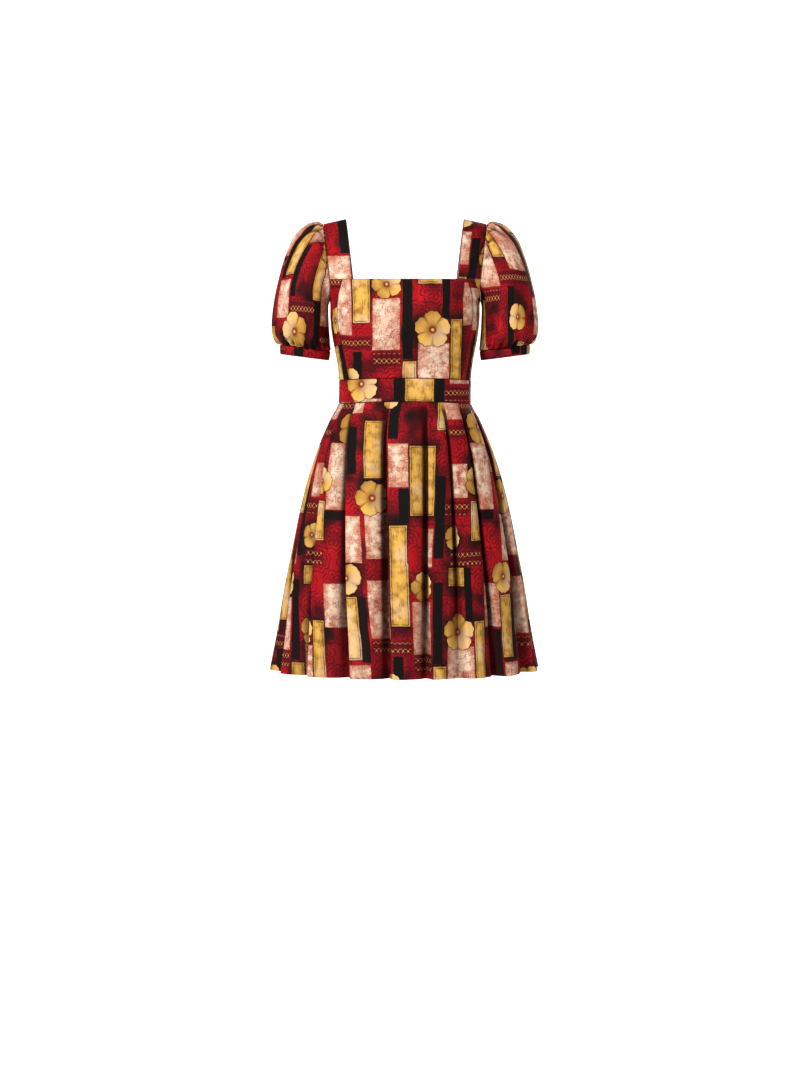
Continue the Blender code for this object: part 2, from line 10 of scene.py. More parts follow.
import bpy
import numpy as np
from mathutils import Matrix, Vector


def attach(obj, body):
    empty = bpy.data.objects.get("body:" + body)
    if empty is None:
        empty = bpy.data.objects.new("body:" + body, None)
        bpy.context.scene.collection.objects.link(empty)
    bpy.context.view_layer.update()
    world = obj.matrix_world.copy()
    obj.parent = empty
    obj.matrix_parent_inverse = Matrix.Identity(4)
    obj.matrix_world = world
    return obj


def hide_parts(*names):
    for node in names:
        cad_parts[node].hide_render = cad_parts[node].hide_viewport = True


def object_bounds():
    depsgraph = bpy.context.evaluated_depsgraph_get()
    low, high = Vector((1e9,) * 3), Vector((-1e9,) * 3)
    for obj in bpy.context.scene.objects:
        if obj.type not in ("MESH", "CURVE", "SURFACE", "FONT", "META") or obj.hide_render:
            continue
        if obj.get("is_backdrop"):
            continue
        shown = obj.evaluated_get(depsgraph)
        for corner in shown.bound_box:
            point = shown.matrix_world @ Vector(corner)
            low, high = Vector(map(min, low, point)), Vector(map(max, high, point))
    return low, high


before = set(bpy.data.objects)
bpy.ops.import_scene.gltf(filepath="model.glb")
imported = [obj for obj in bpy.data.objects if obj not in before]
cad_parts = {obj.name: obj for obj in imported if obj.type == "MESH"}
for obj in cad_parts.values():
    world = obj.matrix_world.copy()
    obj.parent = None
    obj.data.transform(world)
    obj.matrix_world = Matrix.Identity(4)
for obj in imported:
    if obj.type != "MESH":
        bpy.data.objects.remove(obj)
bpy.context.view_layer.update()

bpy.ops.object.select_all(action="DESELECT")

# %% [markdown]
# ## Camera
# The photograph is taken from the front with a long lens, a little above the waist of the dress and
# tilted slightly down. A long lens keeps the skirt's near and far folds at almost one scale.

# %% Place the camera
CAMERA_PLACE = (-0.009, -4.9, -0.293)
CAMERA_TILT = math.radians(3.5)
LENS_MM = 88.8
SENSOR_MM = 36.0


def new_item(name, data):
    """An object that holds some data, in the scene."""
    item = bpy.data.objects.new(name, data)
    bpy.context.scene.collection.objects.link(item)
    return item


camera_data = bpy.data.cameras.new("camera")
camera_data.lens = LENS_MM
camera_data.sensor_width = SENSOR_MM
camera = new_item("camera", camera_data)
camera.location = CAMERA_PLACE
camera.rotation_euler = (math.pi / 2 - CAMERA_TILT, 0.0, 0.0)
bpy.context.scene.camera = camera

# %% [markdown]
# ## The body that the dress is cut for
# A fitted bodice follows the body closely, so its panels are drawn on rounded sections of the body. The
# tables repeat the values of the CAD source, and each one is read on a smooth curve through its rows, so
# the sheets can have many more points than the solids and still lie on them.

# %% Tables of the form
SEAM_GAP = 0.0003
NECK_Z = -0.111
UNDERARM_Z = -0.148
BAND_TOP_Z = -0.2876
BAND_LOW_Z = -0.3290
HEM_Z = -0.8155
SIDE_DIP = 0.004
BODY_POWER = 2.5
BODY = (
    # height, half width, front depth, back depth
    (-0.111, 0.15, 0.099, 0.1005),
    (-0.13, 0.1415, 0.104, 0.102),
    (-0.148, 0.1362, 0.1085, 0.103),
    (-0.178, 0.1352, 0.112, 0.1035),
    (-0.208, 0.1322, 0.109, 0.101),
    (-0.2384, 0.1268, 0.1, 0.0945),
    (-0.262, 0.1225, 0.092, 0.088),
    (-0.2876, 0.12, 0.088, 0.085),
    (-0.309, 0.1198, 0.0875, 0.0845),
    (-0.334, 0.1204, 0.088, 0.085),
)
PRINCESS = (
    # height, distance of the seam from the centre
    (-0.111, 0.112),
    (-0.142, 0.12),
    (-0.184, 0.121),
    (-0.22, 0.115),
    (-0.254, 0.108),
    (-0.292, 0.1),
)
STRAP_LOW_X = (0.0946, 0.1350)
STRAP_TOP_X = (0.1065, 0.1474)
STRAP_FALL = 0.009
STRAP_START = math.radians(20)
SKIRT = (
    # height, half width, front depth, back depth, fold depth, share of a pleat that rises
    (-0.3293, 0.1202, 0.088, 0.085, 0.0015, 0.2),
    (-0.3385, 0.124, 0.0925, 0.09, 0.0026, 0.2),
    (-0.353, 0.132, 0.101, 0.099, 0.0045, 0.22),
    (-0.382, 0.145, 0.113, 0.112, 0.008, 0.26),
    (-0.425, 0.162, 0.1275, 0.1275, 0.0108, 0.3),
    (-0.47, 0.1765, 0.14, 0.141, 0.0126, 0.33),
    (-0.528, 0.191, 0.153, 0.155, 0.0142, 0.36),
    (-0.6, 0.206, 0.166, 0.169, 0.0156, 0.38),
    (-0.674, 0.221, 0.179, 0.183, 0.0166, 0.4),
    (-0.745, 0.233, 0.1895, 0.194, 0.0175, 0.42),
    (-0.8155, 0.247, 0.2, 0.205, 0.018, 0.42),
)
SLEEVE = (
    # inner x, inner z, outer x, outer z, half depth
    (0.1386, -0.156, 0.16, -0.004, 0.061),
    (0.139, -0.165, 0.183, -0.013, 0.065),
    (0.1388, -0.174, 0.203, -0.035, 0.068),
    (0.1384, -0.183, 0.2165, -0.066, 0.07),
    (0.138, -0.192, 0.2275, -0.103, 0.071),
    (0.1375, -0.201, 0.2365, -0.143, 0.0705),
    (0.1368, -0.21, 0.2415, -0.182, 0.069),
    (0.136, -0.22, 0.2405, -0.206, 0.065),
    (0.135, -0.23, 0.2355, -0.22, 0.057),
    (0.1346, -0.236, 0.2295, -0.225, 0.048),
)
CUFF = (
    # inner x, inner z, outer x, outer z, half depth
    (0.1352, -0.2385, 0.2266, -0.227, 0.0428),
    (0.1362, -0.247, 0.227, -0.2355, 0.0428),
    (0.1378, -0.2555, 0.2262, -0.2442, 0.0418),
)


# %% Read the tables and points of the form
def smooth(table, column, at):
    """One column of a table at any value of its first column, on a smooth curve through the rows."""
    rows = np.array(sorted(table))
    known = rows[:, 0]
    value = rows[:, column]
    slope = np.gradient(value, known)
    place = np.clip(at, known[0], known[-1])
    low = np.clip(np.searchsorted(known, place) - 1, 0, len(known) - 2)
    step = known[low + 1] - known[low]
    t = (place - known[low]) / step
    from_low = (1 + 2 * t) * (1 - t) ** 2 * value[low] + t * (1 - t) ** 2 * step * slope[low]
    from_high = t * t * (3 - 2 * t) * value[low + 1] + t * t * (t - 1) * step * slope[low + 1]
    return from_low + from_high


def unit(vectors):
    return vectors / np.linalg.norm(vectors, axis=-1, keepdims=True)


def mirrored(points):
    return points * np.array((-1.0, 1.0, 1.0))


def body_turn(x, height):
    """Turn round the section, 0 at the centre and a quarter at the side."""
    return np.arcsin((x / smooth(BODY, 1, height)) ** (BODY_POWER / 2))


def body_point(turn, height, back=False):
    """Point on the left half of the body."""
    half = smooth(BODY, 1, height)
    depth = smooth(BODY, 3 if back else 2, height)
    x = half * np.sin(turn) ** (2 / BODY_POWER)
    y = depth * np.abs(np.cos(turn)) ** (2 / BODY_POWER)
    return np.stack([x, y if back else -y, height + 0 * x], axis=-1)


def body_level(x, y, height):
    """Zero on the body's surface, positive outside it."""
    depth = np.where(y <= 0, smooth(BODY, 2, height), smooth(BODY, 3, height))
    across = (np.abs(x) / smooth(BODY, 1, height)) ** BODY_POWER
    return across + (np.abs(y) / depth) ** BODY_POWER - 1


def body_normals(points):
    step = 1e-4
    x, y, z = points[..., 0], points[..., 1], points[..., 2]
    slope_x = body_level(x + step, y, z) - body_level(x - step, y, z)
    slope_y = body_level(x, y + step, z) - body_level(x, y - step, z)
    slope_z = body_level(x, y, z + step) - body_level(x, y, z - step)
    return unit(np.stack([slope_x, slope_y, slope_z], axis=-1))


def side_dip(x, height):
    """How much lower a waist seam lies at a point than at the centre."""
    return SIDE_DIP * (x / smooth(BODY, 1, height)) ** 2


def ellipse(turns, inner_x, inner_z, outer_x, outer_z, half_depth):
    """A ring of the left sleeve from its underarm point and its outer point."""
    centre = np.array(((inner_x + outer_x) / 2, 0, (inner_z + outer_z) / 2))
    across = np.array(((outer_x - inner_x) / 2, 0, (outer_z - inner_z) / 2))
    return centre + np.cos(turns)[:, None] * across - np.sin(turns)[:, None] * np.array((0, half_depth, 0))


# %% [markdown]
# ## Printed cotton
# The cloth is a plain-weave cotton with a large patchwork print: blocks of cream, ochre and near-black
# with thin dark outlines on a crimson ground, and round blossoms over them. A printer builds such a cloth
# up in layers of ink, and the node groups below do the same. They read the cut's own map in metres, so
# the print bends, folds and gathers with the cloth. The chart of blocks is a generic one.

# %% Small helpers for node trees
def wire(value, socket):
    """Joins a socket to another, or sets a plain value on it."""
    if isinstance(value, bpy.types.NodeSocket):
        socket.id_data.links.new(value, socket)
    else:
        socket.default_value = value


def new_node(kind, values, **settings):
    """A node with its values wired, in the tree of the first socket among them."""
    tree = next(value.id_data for value in values.values() if isinstance(value, bpy.types.NodeSocket))
    node = tree.nodes.new("ShaderNode" + kind)
    for label, setting in settings.items():
        setattr(node, label, setting)
    for label, value in values.items():
        wire(value, node.inputs[label])
    return node


def maths(operation, *values):
    return new_node("Math", dict(enumerate(values)), operation=operation).outputs[0]


def joined(operation, values):
    """One value from several, taken two by two."""
    total = values[0]
    for value in values[1:]:
        total = maths(operation, total, value)
    return total


def times(*values):
    return joined("MULTIPLY", values)


def vectors(operation, *values):
    node = new_node("VectorMath", dict(enumerate(values)), operation=operation)
    return node.outputs["Value" if operation == "LENGTH" else "Vector"]


def parts(vector):
    return new_node("SeparateXYZ", {0: vector}).outputs


def flat_length(vector):
    """Length of a vector without its third part."""
    return vectors("LENGTH", vectors("MULTIPLY", vector, (1.0, 1.0, 0.0)))


def wrapped(place, half):
    """A place brought into the middle cell of a grid, from half the size of a cell."""
    return vectors("WRAP", place, (*half, 1.0), (-half[0], -half[1], -1.0))


def stretch(value, from_low, from_high, to_low=0.0, to_high=1.0):
    """A value brought from one range to another, and held inside it."""
    return new_node("MapRange", dict(enumerate((value, from_low, from_high, to_low, to_high)))).outputs[0]


def blend(share, first, second):
    """The first colour, with a share of the second laid over it."""
    under, over = ((*colour, 1.0) if isinstance(colour, tuple) else colour for colour in (first, second))
    return new_node("Mix", {0: share, 6: under, 7: over}, data_type="RGBA").outputs[2]


def noise(place, scale, detail=2.0, output="Fac"):
    return new_node("TexNoise", {"Vector": place, "Scale": scale, "Detail": detail}).outputs[output]


def shaken(place, scale, detail, reach):
    """How far noise moves a place, at most half of the reach across and down."""
    shake = vectors("SUBTRACT", noise(place, scale, detail, "Color"), (0.5, 0.5, 0.5))
    return vectors("MULTIPLY", shake, (reach, reach, 0.0))


def new_group(name, inputs, outputs):
    """An empty node group with its named sockets: what it is given, and what it puts out."""
    group = bpy.data.node_groups.new(name, "ShaderNodeTree")
    for label, kind in inputs:
        group.interface.new_socket(label, in_out="INPUT", socket_type="NodeSocket" + kind)
    for label, kind in outputs:
        group.interface.new_socket(label, in_out="OUTPUT", socket_type="NodeSocket" + kind)
    return group, group.nodes.new("NodeGroupInput").outputs, group.nodes.new("NodeGroupOutput").inputs


def placed(group, **values):
    """The outputs of a group's new node, with values or sockets for its inputs by name."""
    values = {label.replace("_", " "): value for label, value in values.items()}
    return new_node("Group", values, node_tree=group).outputs


# %% Shapes that the print is charted with
REPEAT_HALF = (0.19, 0.26)
LOBE_LEAST = 0.72
LOBE_RISE = 0.26
RUFFLES = 17.0
RUFFLE_DEPTH = 0.018

patch_group, given, result = new_group(
    "patch distance",
    (("Place", "Vector"), ("Centre", "Vector"), ("Half size", "Vector")),
    (("Distance", "Float"),),
)
from_centre = wrapped(vectors("SUBTRACT", given["Place"], given["Centre"]), REPEAT_HALF)
sides = parts(vectors("SUBTRACT", vectors("ABSOLUTE", from_centre), given["Half size"]))
wire(maths("MAXIMUM", sides[0], sides[1]), result[0])

blossom_group, given, result = new_group(
    "blossom distance",
    (("Place", "Vector"), ("Centre", "Vector"), ("Radius", "Float"), ("Petals", "Float"), ("Turn", "Float")),
    (("Distance", "Float"), ("Radial", "Float"), ("Petal", "Float"), ("Turn", "Float")),
)
from_centre = wrapped(vectors("SUBTRACT", given["Place"], given["Centre"]), REPEAT_HALF)
sides = parts(from_centre)
out_from = flat_length(from_centre)
turn = maths("ADD", maths("ARCTAN2", sides[1], sides[0]), given["Turn"])
petal = maths("ABSOLUTE", maths("COSINE", times(turn, times(given["Petals"], 0.5))))
lobe = maths("MULTIPLY_ADD", maths("POWER", petal, 0.40), LOBE_RISE, LOBE_LEAST)
lobe = maths("MULTIPLY_ADD", maths("SINE", times(turn, RUFFLES)), RUFFLE_DEPTH, lobe)
wire(maths("SUBTRACT", out_from, times(lobe, given["Radius"])), result["Distance"])
wire(maths("DIVIDE", out_from, given["Radius"]), result["Radial"])
wire(petal, result["Petal"])
wire(turn, result["Turn"])

# %% Chart of the print, in millimetres across and down the repeat
CREAM_PATCHES = (
    # left, right, top, bottom
    (2, 60, 18, 122), (62, 98, 292, 372), (100, 150, 56, 150), (182, 240, 136, 248),
    (182, 236, 330, 392), (268, 330, 26, 104), (270, 330, 292, 414), (334, 376, 168, 236),
    (4, 58, 418, 500), (344, 376, 424, 508), (124, 152, 446, 516),
)
OCHRE_PATCHES = (
    (62, 96, -12, 100), (6, 44, 250, 356), (100, 152, 296, 424), (154, 180, 170, 268),
    (242, 266, 92, 204), (332, 362, 48, 160), (242, 268, 398, 470), (62, 94, 440, 520),
    (332, 352, 262, 348), (182, 226, -4, 30),
)
DARK_PATCHES = (
    (154, 172, 22, 166), (45, 60, 250, 356), (62, 80, 152, 284), (242, 262, 206, 330),
    (362, 378, 48, 164), (154, 172, 352, 500), (4, 60, 358, 376), (226, 240, -4, 92),
    (354, 372, 262, 350), (268, 326, 416, 432), (314, 330, 108, 200), (80, 98, 374, 436),
)
BRIGHT_PATCHES = (
    (182, 226, 32, 92), (270, 328, 434, 488), (100, 150, 190, 240), (334, 378, 362, 412),
    (6, 56, 170, 226),
)
SCROLL_PATCHES = (
    (2, 98, 125, 148), (184, 266, 488, 514), (258, 330, 206, 232), (100, 152, 154, 180),
    (168, 240, 258, 284), (170, 240, 398, 424),
)
BLOSSOMS = (
    # centre across, centre down, radius, petals, turn, all but the petals and the turn in millimetres
    (208, 112, 34, 5, 0.3), (52, 206, 26, 4, 0.9), (318, 262, 37, 5, 1.4), (256, 362, 27, 3, 2.0),
    (20, 392, 33, 5, 0.6), (196, 462, 24, 4, 1.1), (344, 16, 30, 3, 0.5), (126, 30, 28, 5, 1.9),
)
CREAM = (0.78, 0.58, 0.42)
SALMON = (0.52, 0.155, 0.085)
RUST = (0.19, 0.022, 0.012)
OCHRE = (0.70, 0.38, 0.070)
OCHRE_BROWN = (0.16, 0.050, 0.010)
INK = (0.0045, 0.0028, 0.0026)
CRIMSON = (0.36, 0.0045, 0.0085)
BRIGHT_RED = (0.46, 0.006, 0.010)
MAROON = (0.070, 0.0022, 0.0055)
TAN = (0.42, 0.19, 0.060)


# %% Lay the inks down, one over the other
# Cells and waves of the small figures, in metres; a cell is given by its half size
FIGURE_CELL = (0.030, 0.042)
FIGURE_RADIUS = 0.031
FIGURE_RING = 0.0078
FIGURE_PETALS = 8.0
CHAIN_CELL = (0.0045, 0.0085)
CHAIN_SPAN = 0.018
CHAIN_SWAY = 0.0040
CRAZE_SCALE = 105.0
OUTLINE_HALF = 0.0006


def inside(distance, edge=0.0, soft=0.00025):
    """One within a field's edge and zero outside it."""
    return stretch(distance, edge - soft, edge + soft, 1.0, 0.0)


def ring(distance, edge, half=OUTLINE_HALF):
    """One on a thin line at a distance from a field's edge."""
    return inside(maths("ABSOLUTE", maths("SUBTRACT", distance, edge)), half)


def waves(value, length, shift=0.0):
    """A sine from -1 to 1 along a value."""
    return maths("SINE", maths("MULTIPLY_ADD", value, 2 * math.pi / length, shift))


def laid(colour, *layers):
    """A colour with inks laid over it in their order, each by its share."""
    for share, ink in layers:
        colour = blend(share, colour, ink)
    return colour


def patch_field(place, patches):
    """Distance from the nearest of several patches, below zero inside one."""
    fields = []
    for left, right, top, bottom in patches:
        centre = ((left + right) / 2000, (top + bottom) / 2000, 0.0)
        half = ((right - left) / 2000, (bottom - top) / 2000, 0.0)
        fields.append(placed(patch_group, Place=place, Centre=centre, Half_size=half)[0])
    return joined("MINIMUM", fields)


print_group, given, result = new_group(
    "patchwork print", (("Place", "Vector"),), (("Color", "Color"), ("Ink", "Float"))
)
chart = given["Place"]
place = vectors("ADD", chart, shaken(chart, 30.0, 1.0, 0.0030))
place = vectors("ADD", place, shaken(chart, 420.0, 1.0, 0.0012))
mottle = noise(chart, 70.0, 5.0)
fine = noise(chart, 480.0, 3.0)
broad = noise(chart, 13.0, 2.0)
charts = (CREAM_PATCHES, OCHRE_PATCHES, DARK_PATCHES, BRIGHT_PATCHES, SCROLL_PATCHES)
cream, ochre, dark, bright, scroll = (patch_field(place, patches) for patches in charts)
blooms = []
for middle_across, middle_down, radius, petals, turned in BLOSSOMS:
    values = {"Centre": (middle_across / 1000, middle_down / 1000, 0.0), "Radius": radius / 1000}
    blooms.append(placed(blossom_group, Place=place, Petals=petals, Turn=turned, **values))
bloom_edge = joined("MINIMUM", [bloom["Distance"] for bloom in blooms])

# Ground: crimson with a darker figure of staggered rosettes, worn away in places
figures = []
for shift in ((0.0, 0.0, 0.0), (*FIGURE_CELL, 0.0)):
    cell = wrapped(vectors("ADD", place, shift), FIGURE_CELL)
    rosette = placed(blossom_group, Place=cell, Radius=FIGURE_RADIUS, Petals=FIGURE_PETALS, Turn=0.2)
    rings = stretch(waves(rosette["Distance"], FIGURE_RING), 0.05, 0.55)
    lace = stretch(waves(rosette["Turn"], 2 * math.pi / FIGURE_PETALS), -0.2, 0.6)
    lace = times(lace, inside(rosette["Radial"], 0.42, 0.04))
    figures.append(times(maths("MAXIMUM", rings, lace), inside(rosette["Distance"], 0.0, 0.001)))
figure = times(joined("MAXIMUM", figures), stretch(mottle, 0.10, 0.50, 0.25, 1.0), stretch(broad, 0.26, 0.40))

# Black shade spreads from the ochre blocks and the blossoms into the ground
near_light = stretch(maths("MINIMUM", ochre, bloom_edge), 0.0, 0.022, 1.0, 0.0)
ground = laid(
    CRIMSON,
    (inside(bright), BRIGHT_RED),
    (times(figure, 0.80), MAROON),
    (stretch(broad, 0.46, 0.62, 0.0, 0.85), MAROON),
    (stretch(broad, 0.57, 0.68, 0.0, 0.90), INK),
    (times(near_light, stretch(broad, 0.38, 0.52), 0.92), INK),
)

# Maroon bands with a tan chain of two waves and dots
chain = wrapped(place, CHAIN_CELL)
wave = times(waves(parts(place)[0], CHAIN_SPAN), CHAIN_SWAY)
strands = [maths("ABSOLUTE", maths(way, parts(chain)[1], wave)) for way in ("SUBTRACT", "ADD")]
in_band = inside(scroll, -0.002)
banded = laid(
    ground,
    (times(inside(scroll, 0.0, 0.002), 0.8), MAROON),
    (times(inside(strands[0], 0.0005), in_band), TAN),
    (times(inside(strands[1], 0.0005), in_band), TAN),
    (times(inside(flat_length(chain), 0.0012), in_band), OCHRE),
)

# Ochre blocks, brown toward their edges, and scratched along the grain
lengthways = noise(vectors("MULTIPLY", chart, (1.0, 0.09, 1.0)), 520.0, 2.0)
crossways = noise(vectors("MULTIPLY", chart, (0.12, 1.0, 1.0)), 480.0, 2.0)
grain = times(stretch(lengthways, 0.50, 0.66), stretch(mottle, 0.34, 0.58))
worn = maths("MAXIMUM", stretch(ochre, -0.012, 0.0, 0.0, 0.55), grain)
speckled = laid(
    OCHRE,
    (times(worn, 0.80), OCHRE_BROWN),
    (stretch(mottle, 0.46, 0.66, 0.0, 0.55), OCHRE_BROWN),
    (stretch(broad, 0.36, 0.48, 0.35, 0.0), CREAM),
)

# Cream blocks, stained salmon and crazed with fine rust lines
crazing = {"Vector": vectors("ADD", chart, shaken(chart, 160.0, 2.0, 0.010)), "Scale": CRAZE_SCALE}
crazing = new_node("TexVoronoi", crazing, feature="DISTANCE_TO_EDGE").outputs["Distance"]
stain = times(stretch(mottle, 0.40, 0.66), stretch(broad, 0.38, 0.60, 0.15, 1.0))
blush = stretch(noise(chart, 24.0, 3.0), 0.44, 0.66, 0.0, 0.85)
threads = maths("MAXIMUM", stretch(lengthways, 0.54, 0.66), stretch(crossways, 0.56, 0.68))
stained = laid(
    CREAM,
    (maths("MAXIMUM", stain, blush), SALMON),
    (times(stretch(fine, 0.50, 0.60), stretch(broad, 0.44, 0.62), stretch(mottle, 0.42, 0.56)), RUST),
    (times(threads, stretch(mottle, 0.34, 0.60), 0.65), RUST),
    (times(stretch(crazing, 0.015, 0.06, 1.0, 0.0), stretch(mottle, 0.36, 0.50), 0.65), RUST),
    (times(stretch(cream, -0.016, 0.0), stretch(mottle, 0.38, 0.58), 0.85), SALMON),
    (times(stretch(cream, -0.010, 0.0), stretch(fine, 0.46, 0.58), 0.80), RUST),
)

# The blocks with their outlines, and near-black bars
colour = laid(
    banded,
    (inside(ochre), speckled),
    (times(ring(ochre, -0.0035, 0.0005), stretch(mottle, 0.34, 0.46)), INK),
    (ring(ochre, 0.0, 0.0007), INK),
    (inside(cream), stained),
    (ring(cream, 0.0), RUST),
    (inside(dark), INK),
)

# Blossoms over all of it, veined, dark at the heart and lit from one side
for bloom in blooms:
    radial = bloom["Radial"]
    turn = bloom["Turn"]
    vein = times(stretch(waves(turn, 0.16), 0.35, 0.95), stretch(radial, 0.25, 0.85, 1.0, 0.15))
    heart = stretch(radial, 0.20, 0.62, 0.85, 0.0)
    fold = stretch(bloom["Petal"], 0.0, 0.45, 0.85, 0.0)
    dim_side = stretch(waves(turn, 2 * math.pi, 3.4), 0.1, 1.0, 0.0, 0.80)
    petals = laid(
        OCHRE,
        (maths("MAXIMUM", times(vein, 0.65), maths("MAXIMUM", heart, fold)), OCHRE_BROWN),
        (stretch(waves(turn, 2 * math.pi, 0.6), -0.1, 0.9, 0.0, 0.32), CREAM),
        (times(dim_side, stretch(radial, 0.35, 0.95)), OCHRE_BROWN),
        (inside(radial, 0.20, 0.05), RUST),
        (inside(radial, 0.08, 0.02), OCHRE),
    )
    colour = laid(colour, (inside(bloom["Distance"]), petals), (ring(bloom["Distance"], 0.0), INK))
wire(colour, result["Color"])
wire(stretch(fine, 0.35, 0.65), result["Ink"])
print("print group has", len(print_group.nodes), "nodes")

# %% [markdown]
# ## Weave and crumple
# A plain weave is two sets of yarns that pass over and under each other about every third of a
# millimetre, and pressed cotton keeps very small soft dents between the yarns and the folds. Both are
# heights for a bump, taken from the same cut map as the print.

# %% Heights of the weave and the crumple
YARN_WAVES = 9000.0
YARN_HEIGHT = 0.00003
SLUB_HEIGHT = 0.00008
CRUMPLE_HEIGHT = 0.0012

weave_group, given, result = new_group("cotton weave", (("Place", "Vector"),), (("Height", "Float"),))
warp, weft = (maths("SINE", times(side, YARN_WAVES)) for side in parts(given[0])[:2])
slub = times(noise(given[0], 900.0, 2.0), SLUB_HEIGHT)
crumple = times(noise(given[0], 75.0, 3.0), CRUMPLE_HEIGHT)
wire(maths("ADD", maths("ADD", times(warp, weft, YARN_HEIGHT), slub), crumple), result[0])


# %% The two faces of the cloth
# Colour that painted shade darkens the cloth toward, in rolled seams, allowances, pleat hollows and gathers
PAINTED_SHADE_COLOUR = (0.030, 0.0015, 0.002)
REVERSE = (0.62, 0.30, 0.27)
REVERSE_SHARE = 0.55


def new_material(name):
    """A material and the inputs of its shader."""
    material = bpy.data.materials.new(name)
    material.use_nodes = True
    return material, material.node_tree.nodes["Principled BSDF"].inputs


def source(holder, kind, output, **settings):
    """The output of a node that reads the sheet or the ray, in the tree of a material or a world."""
    node = holder.node_tree.nodes.new("ShaderNode" + kind)
    for label, setting in settings.items():
        setattr(node, label, setting)
    return node.outputs[output]


def bumped(shader, height, strength, distance=1.0):
    """Small relief on a shader, from a height."""
    bump = new_node("Bump", {"Height": height, "Strength": strength, "Distance": distance})
    wire(bump.outputs[0], shader["Normal"])


def cotton_material(name, reverse=False):
    """Printed cotton with painted shade from an attribute; its reverse shows the print faintly through a paler
    cloth.
    """
    material, shader = new_material(name)
    cut = source(material, "UVMap", 0, uv_map="cut")
    printed = placed(print_group, Place=cut)
    colour = printed["Color"]
    if reverse:
        colour = blend(REVERSE_SHARE, colour, REVERSE)
    # Painted shade: the colour darkens by the shade attribute that each sheet carries
    colour = blend(source(material, "Attribute", "Fac", attribute_name="seam"), colour, PAINTED_SHADE_COLOUR)
    wire(colour, shader["Base Color"])
    wire(stretch(printed["Ink"], 0.0, 1.0, 0.70, 0.82), shader["Roughness"])
    wire(0.10, shader["Specular IOR Level"])
    bumped(shader, placed(weave_group, Place=cut)[0], 0.55)
    return material


cotton_face = cotton_material("printed_cotton_face")
cotton_reverse = cotton_material("printed_cotton_reverse", reverse=True)

# %% [markdown]
# ## From a grid of points to a sheet of cloth
# Each panel is a grid of rows and columns, which suits cloth: the grid's lines are the grain. Near a seam
# the cloth rolls under, so the grid has close rows there that dip a little. Solidify then gives the sheet
# its thickness, on the wearer's side, and is applied. The flat size comes from the cut map.

# %% Helpers for sheets
SEAM_STEPS = (0.0, 0.0005, 0.0010, 0.0016, 0.0026)
SEAM_ROLL = 0.0020
SEAM_DEPTH = 0.0008
ALLOWANCE = 0.0050
ALLOWANCE_DROP = 0.0012
ALLOWANCE_SHADE = 0.5
CREASE_ENDS = 0.3
COTTON_THICKNESS = 0.0009
SHEET_ANGLE = math.radians(60)


def shares_to_seams(count, length):
    """Shares from 0 to 1 with close ones at both ends, where a seam rolls under."""
    near = np.array(SEAM_STEPS) / length
    middle = np.linspace(near[-1], 1 - near[-1], count)
    return np.concatenate([near[:-1], middle, 1 - near[-2::-1]])


def running_length(points, axis):
    """Length along the grid's lines from their first point."""
    steps = np.linalg.norm(np.diff(points, axis=axis), axis=-1)
    start = np.zeros_like(np.take(steps, [0], axis=axis))
    return np.concatenate([start, np.cumsum(steps, axis=axis)], axis=axis)


def edge_distance(points, edges):
    """Distance of each point from the nearest of the edges named."""
    down = running_length(points, 0)
    across = running_length(points, 1)
    away = {"top": down, "bottom": down[-1:] - down, "first": across, "last": across[:, -1:] - across}
    return np.min([away[edge] for edge in edges], axis=0)


def grid_normals(points, closed=False):
    """Unit normals of a grid, on the side that the rows' order gives."""
    down = np.gradient(points, axis=0)
    if closed:
        along = np.roll(points, -1, axis=1) - np.roll(points, 1, axis=1)
    else:
        along = np.gradient(points, axis=1)
    return unit(np.cross(along, down))


def cut_place(points, column=0):
    """Place of each point on the cut cloth: across from one column, and down from the neckline's level."""
    across = running_length(points, 1)
    down = running_length(points, 0) + NECK_Z - points[:1, :, 2]
    return np.stack([across - across[:, column:column + 1], down], axis=-1)


def toward(normals, way):
    """The normals, turned over if they point against a way."""
    return -normals if np.sum(normals * way) < 0 else normals


def creased(points, normals, place, marks):
    """Points moved by soft creases; each mark runs from one place of the cut to another."""
    moved = points.copy()
    for across, down, to_across, to_down, half_width, height in marks:
        start = np.array((across, down))
        run = np.array((to_across, to_down)) - start
        way = np.clip((place - start) @ run / (run @ run), 0, 1)
        away = np.linalg.norm(place - start - way[..., None] * run, axis=-1)
        share = np.exp(-(away / half_width) ** 2) * (CREASE_ENDS + (1 - CREASE_ENDS) * np.sin(math.pi * way))
        moved += (height * share)[..., None] * normals
    return moved


def with_allowance(grids, edge):
    """Points, normals, cut and painted shade with a seam allowance beyond an edge, behind the next piece."""
    turns = ("top", "last", "bottom", "first").index(edge)
    grids = [np.rot90(grid, turns) for grid in grids]
    points, normals, place, seam = grids
    sunk = points[0] - ALLOWANCE_DROP * normals[0]
    far = sunk - ALLOWANCE * unit(points[1] - points[0])
    onward = unit(place[0] - place[1])
    places = place[0] + (ALLOWANCE_DROP + ALLOWANCE) * onward, place[0] + ALLOWANCE_DROP * onward
    # The allowance lies behind the next piece and gets an even painted shade
    shade = np.full_like(seam[0], ALLOWANCE_SHADE)
    lines = (far, sunk), (normals[0], normals[0]), places, (shade, shade)
    return [np.rot90(np.concatenate([added, grid]), -turns) for added, grid in zip(lines, grids)]


def once_round(grid):
    """A ring's columns with the first one again at the end."""
    return np.concatenate([grid, grid[:, :1]], axis=1)


def cells(grid):
    """The four corners of each cell of a grid."""
    return np.stack([grid[:-1, :-1], grid[:-1, 1:], grid[1:, 1:], grid[1:, :-1]], axis=2)


def picked(item):
    """Makes an item the only one selected, and active."""
    bpy.ops.object.select_all(action="DESELECT")
    item.select_set(True)
    bpy.context.view_layer.objects.active = item


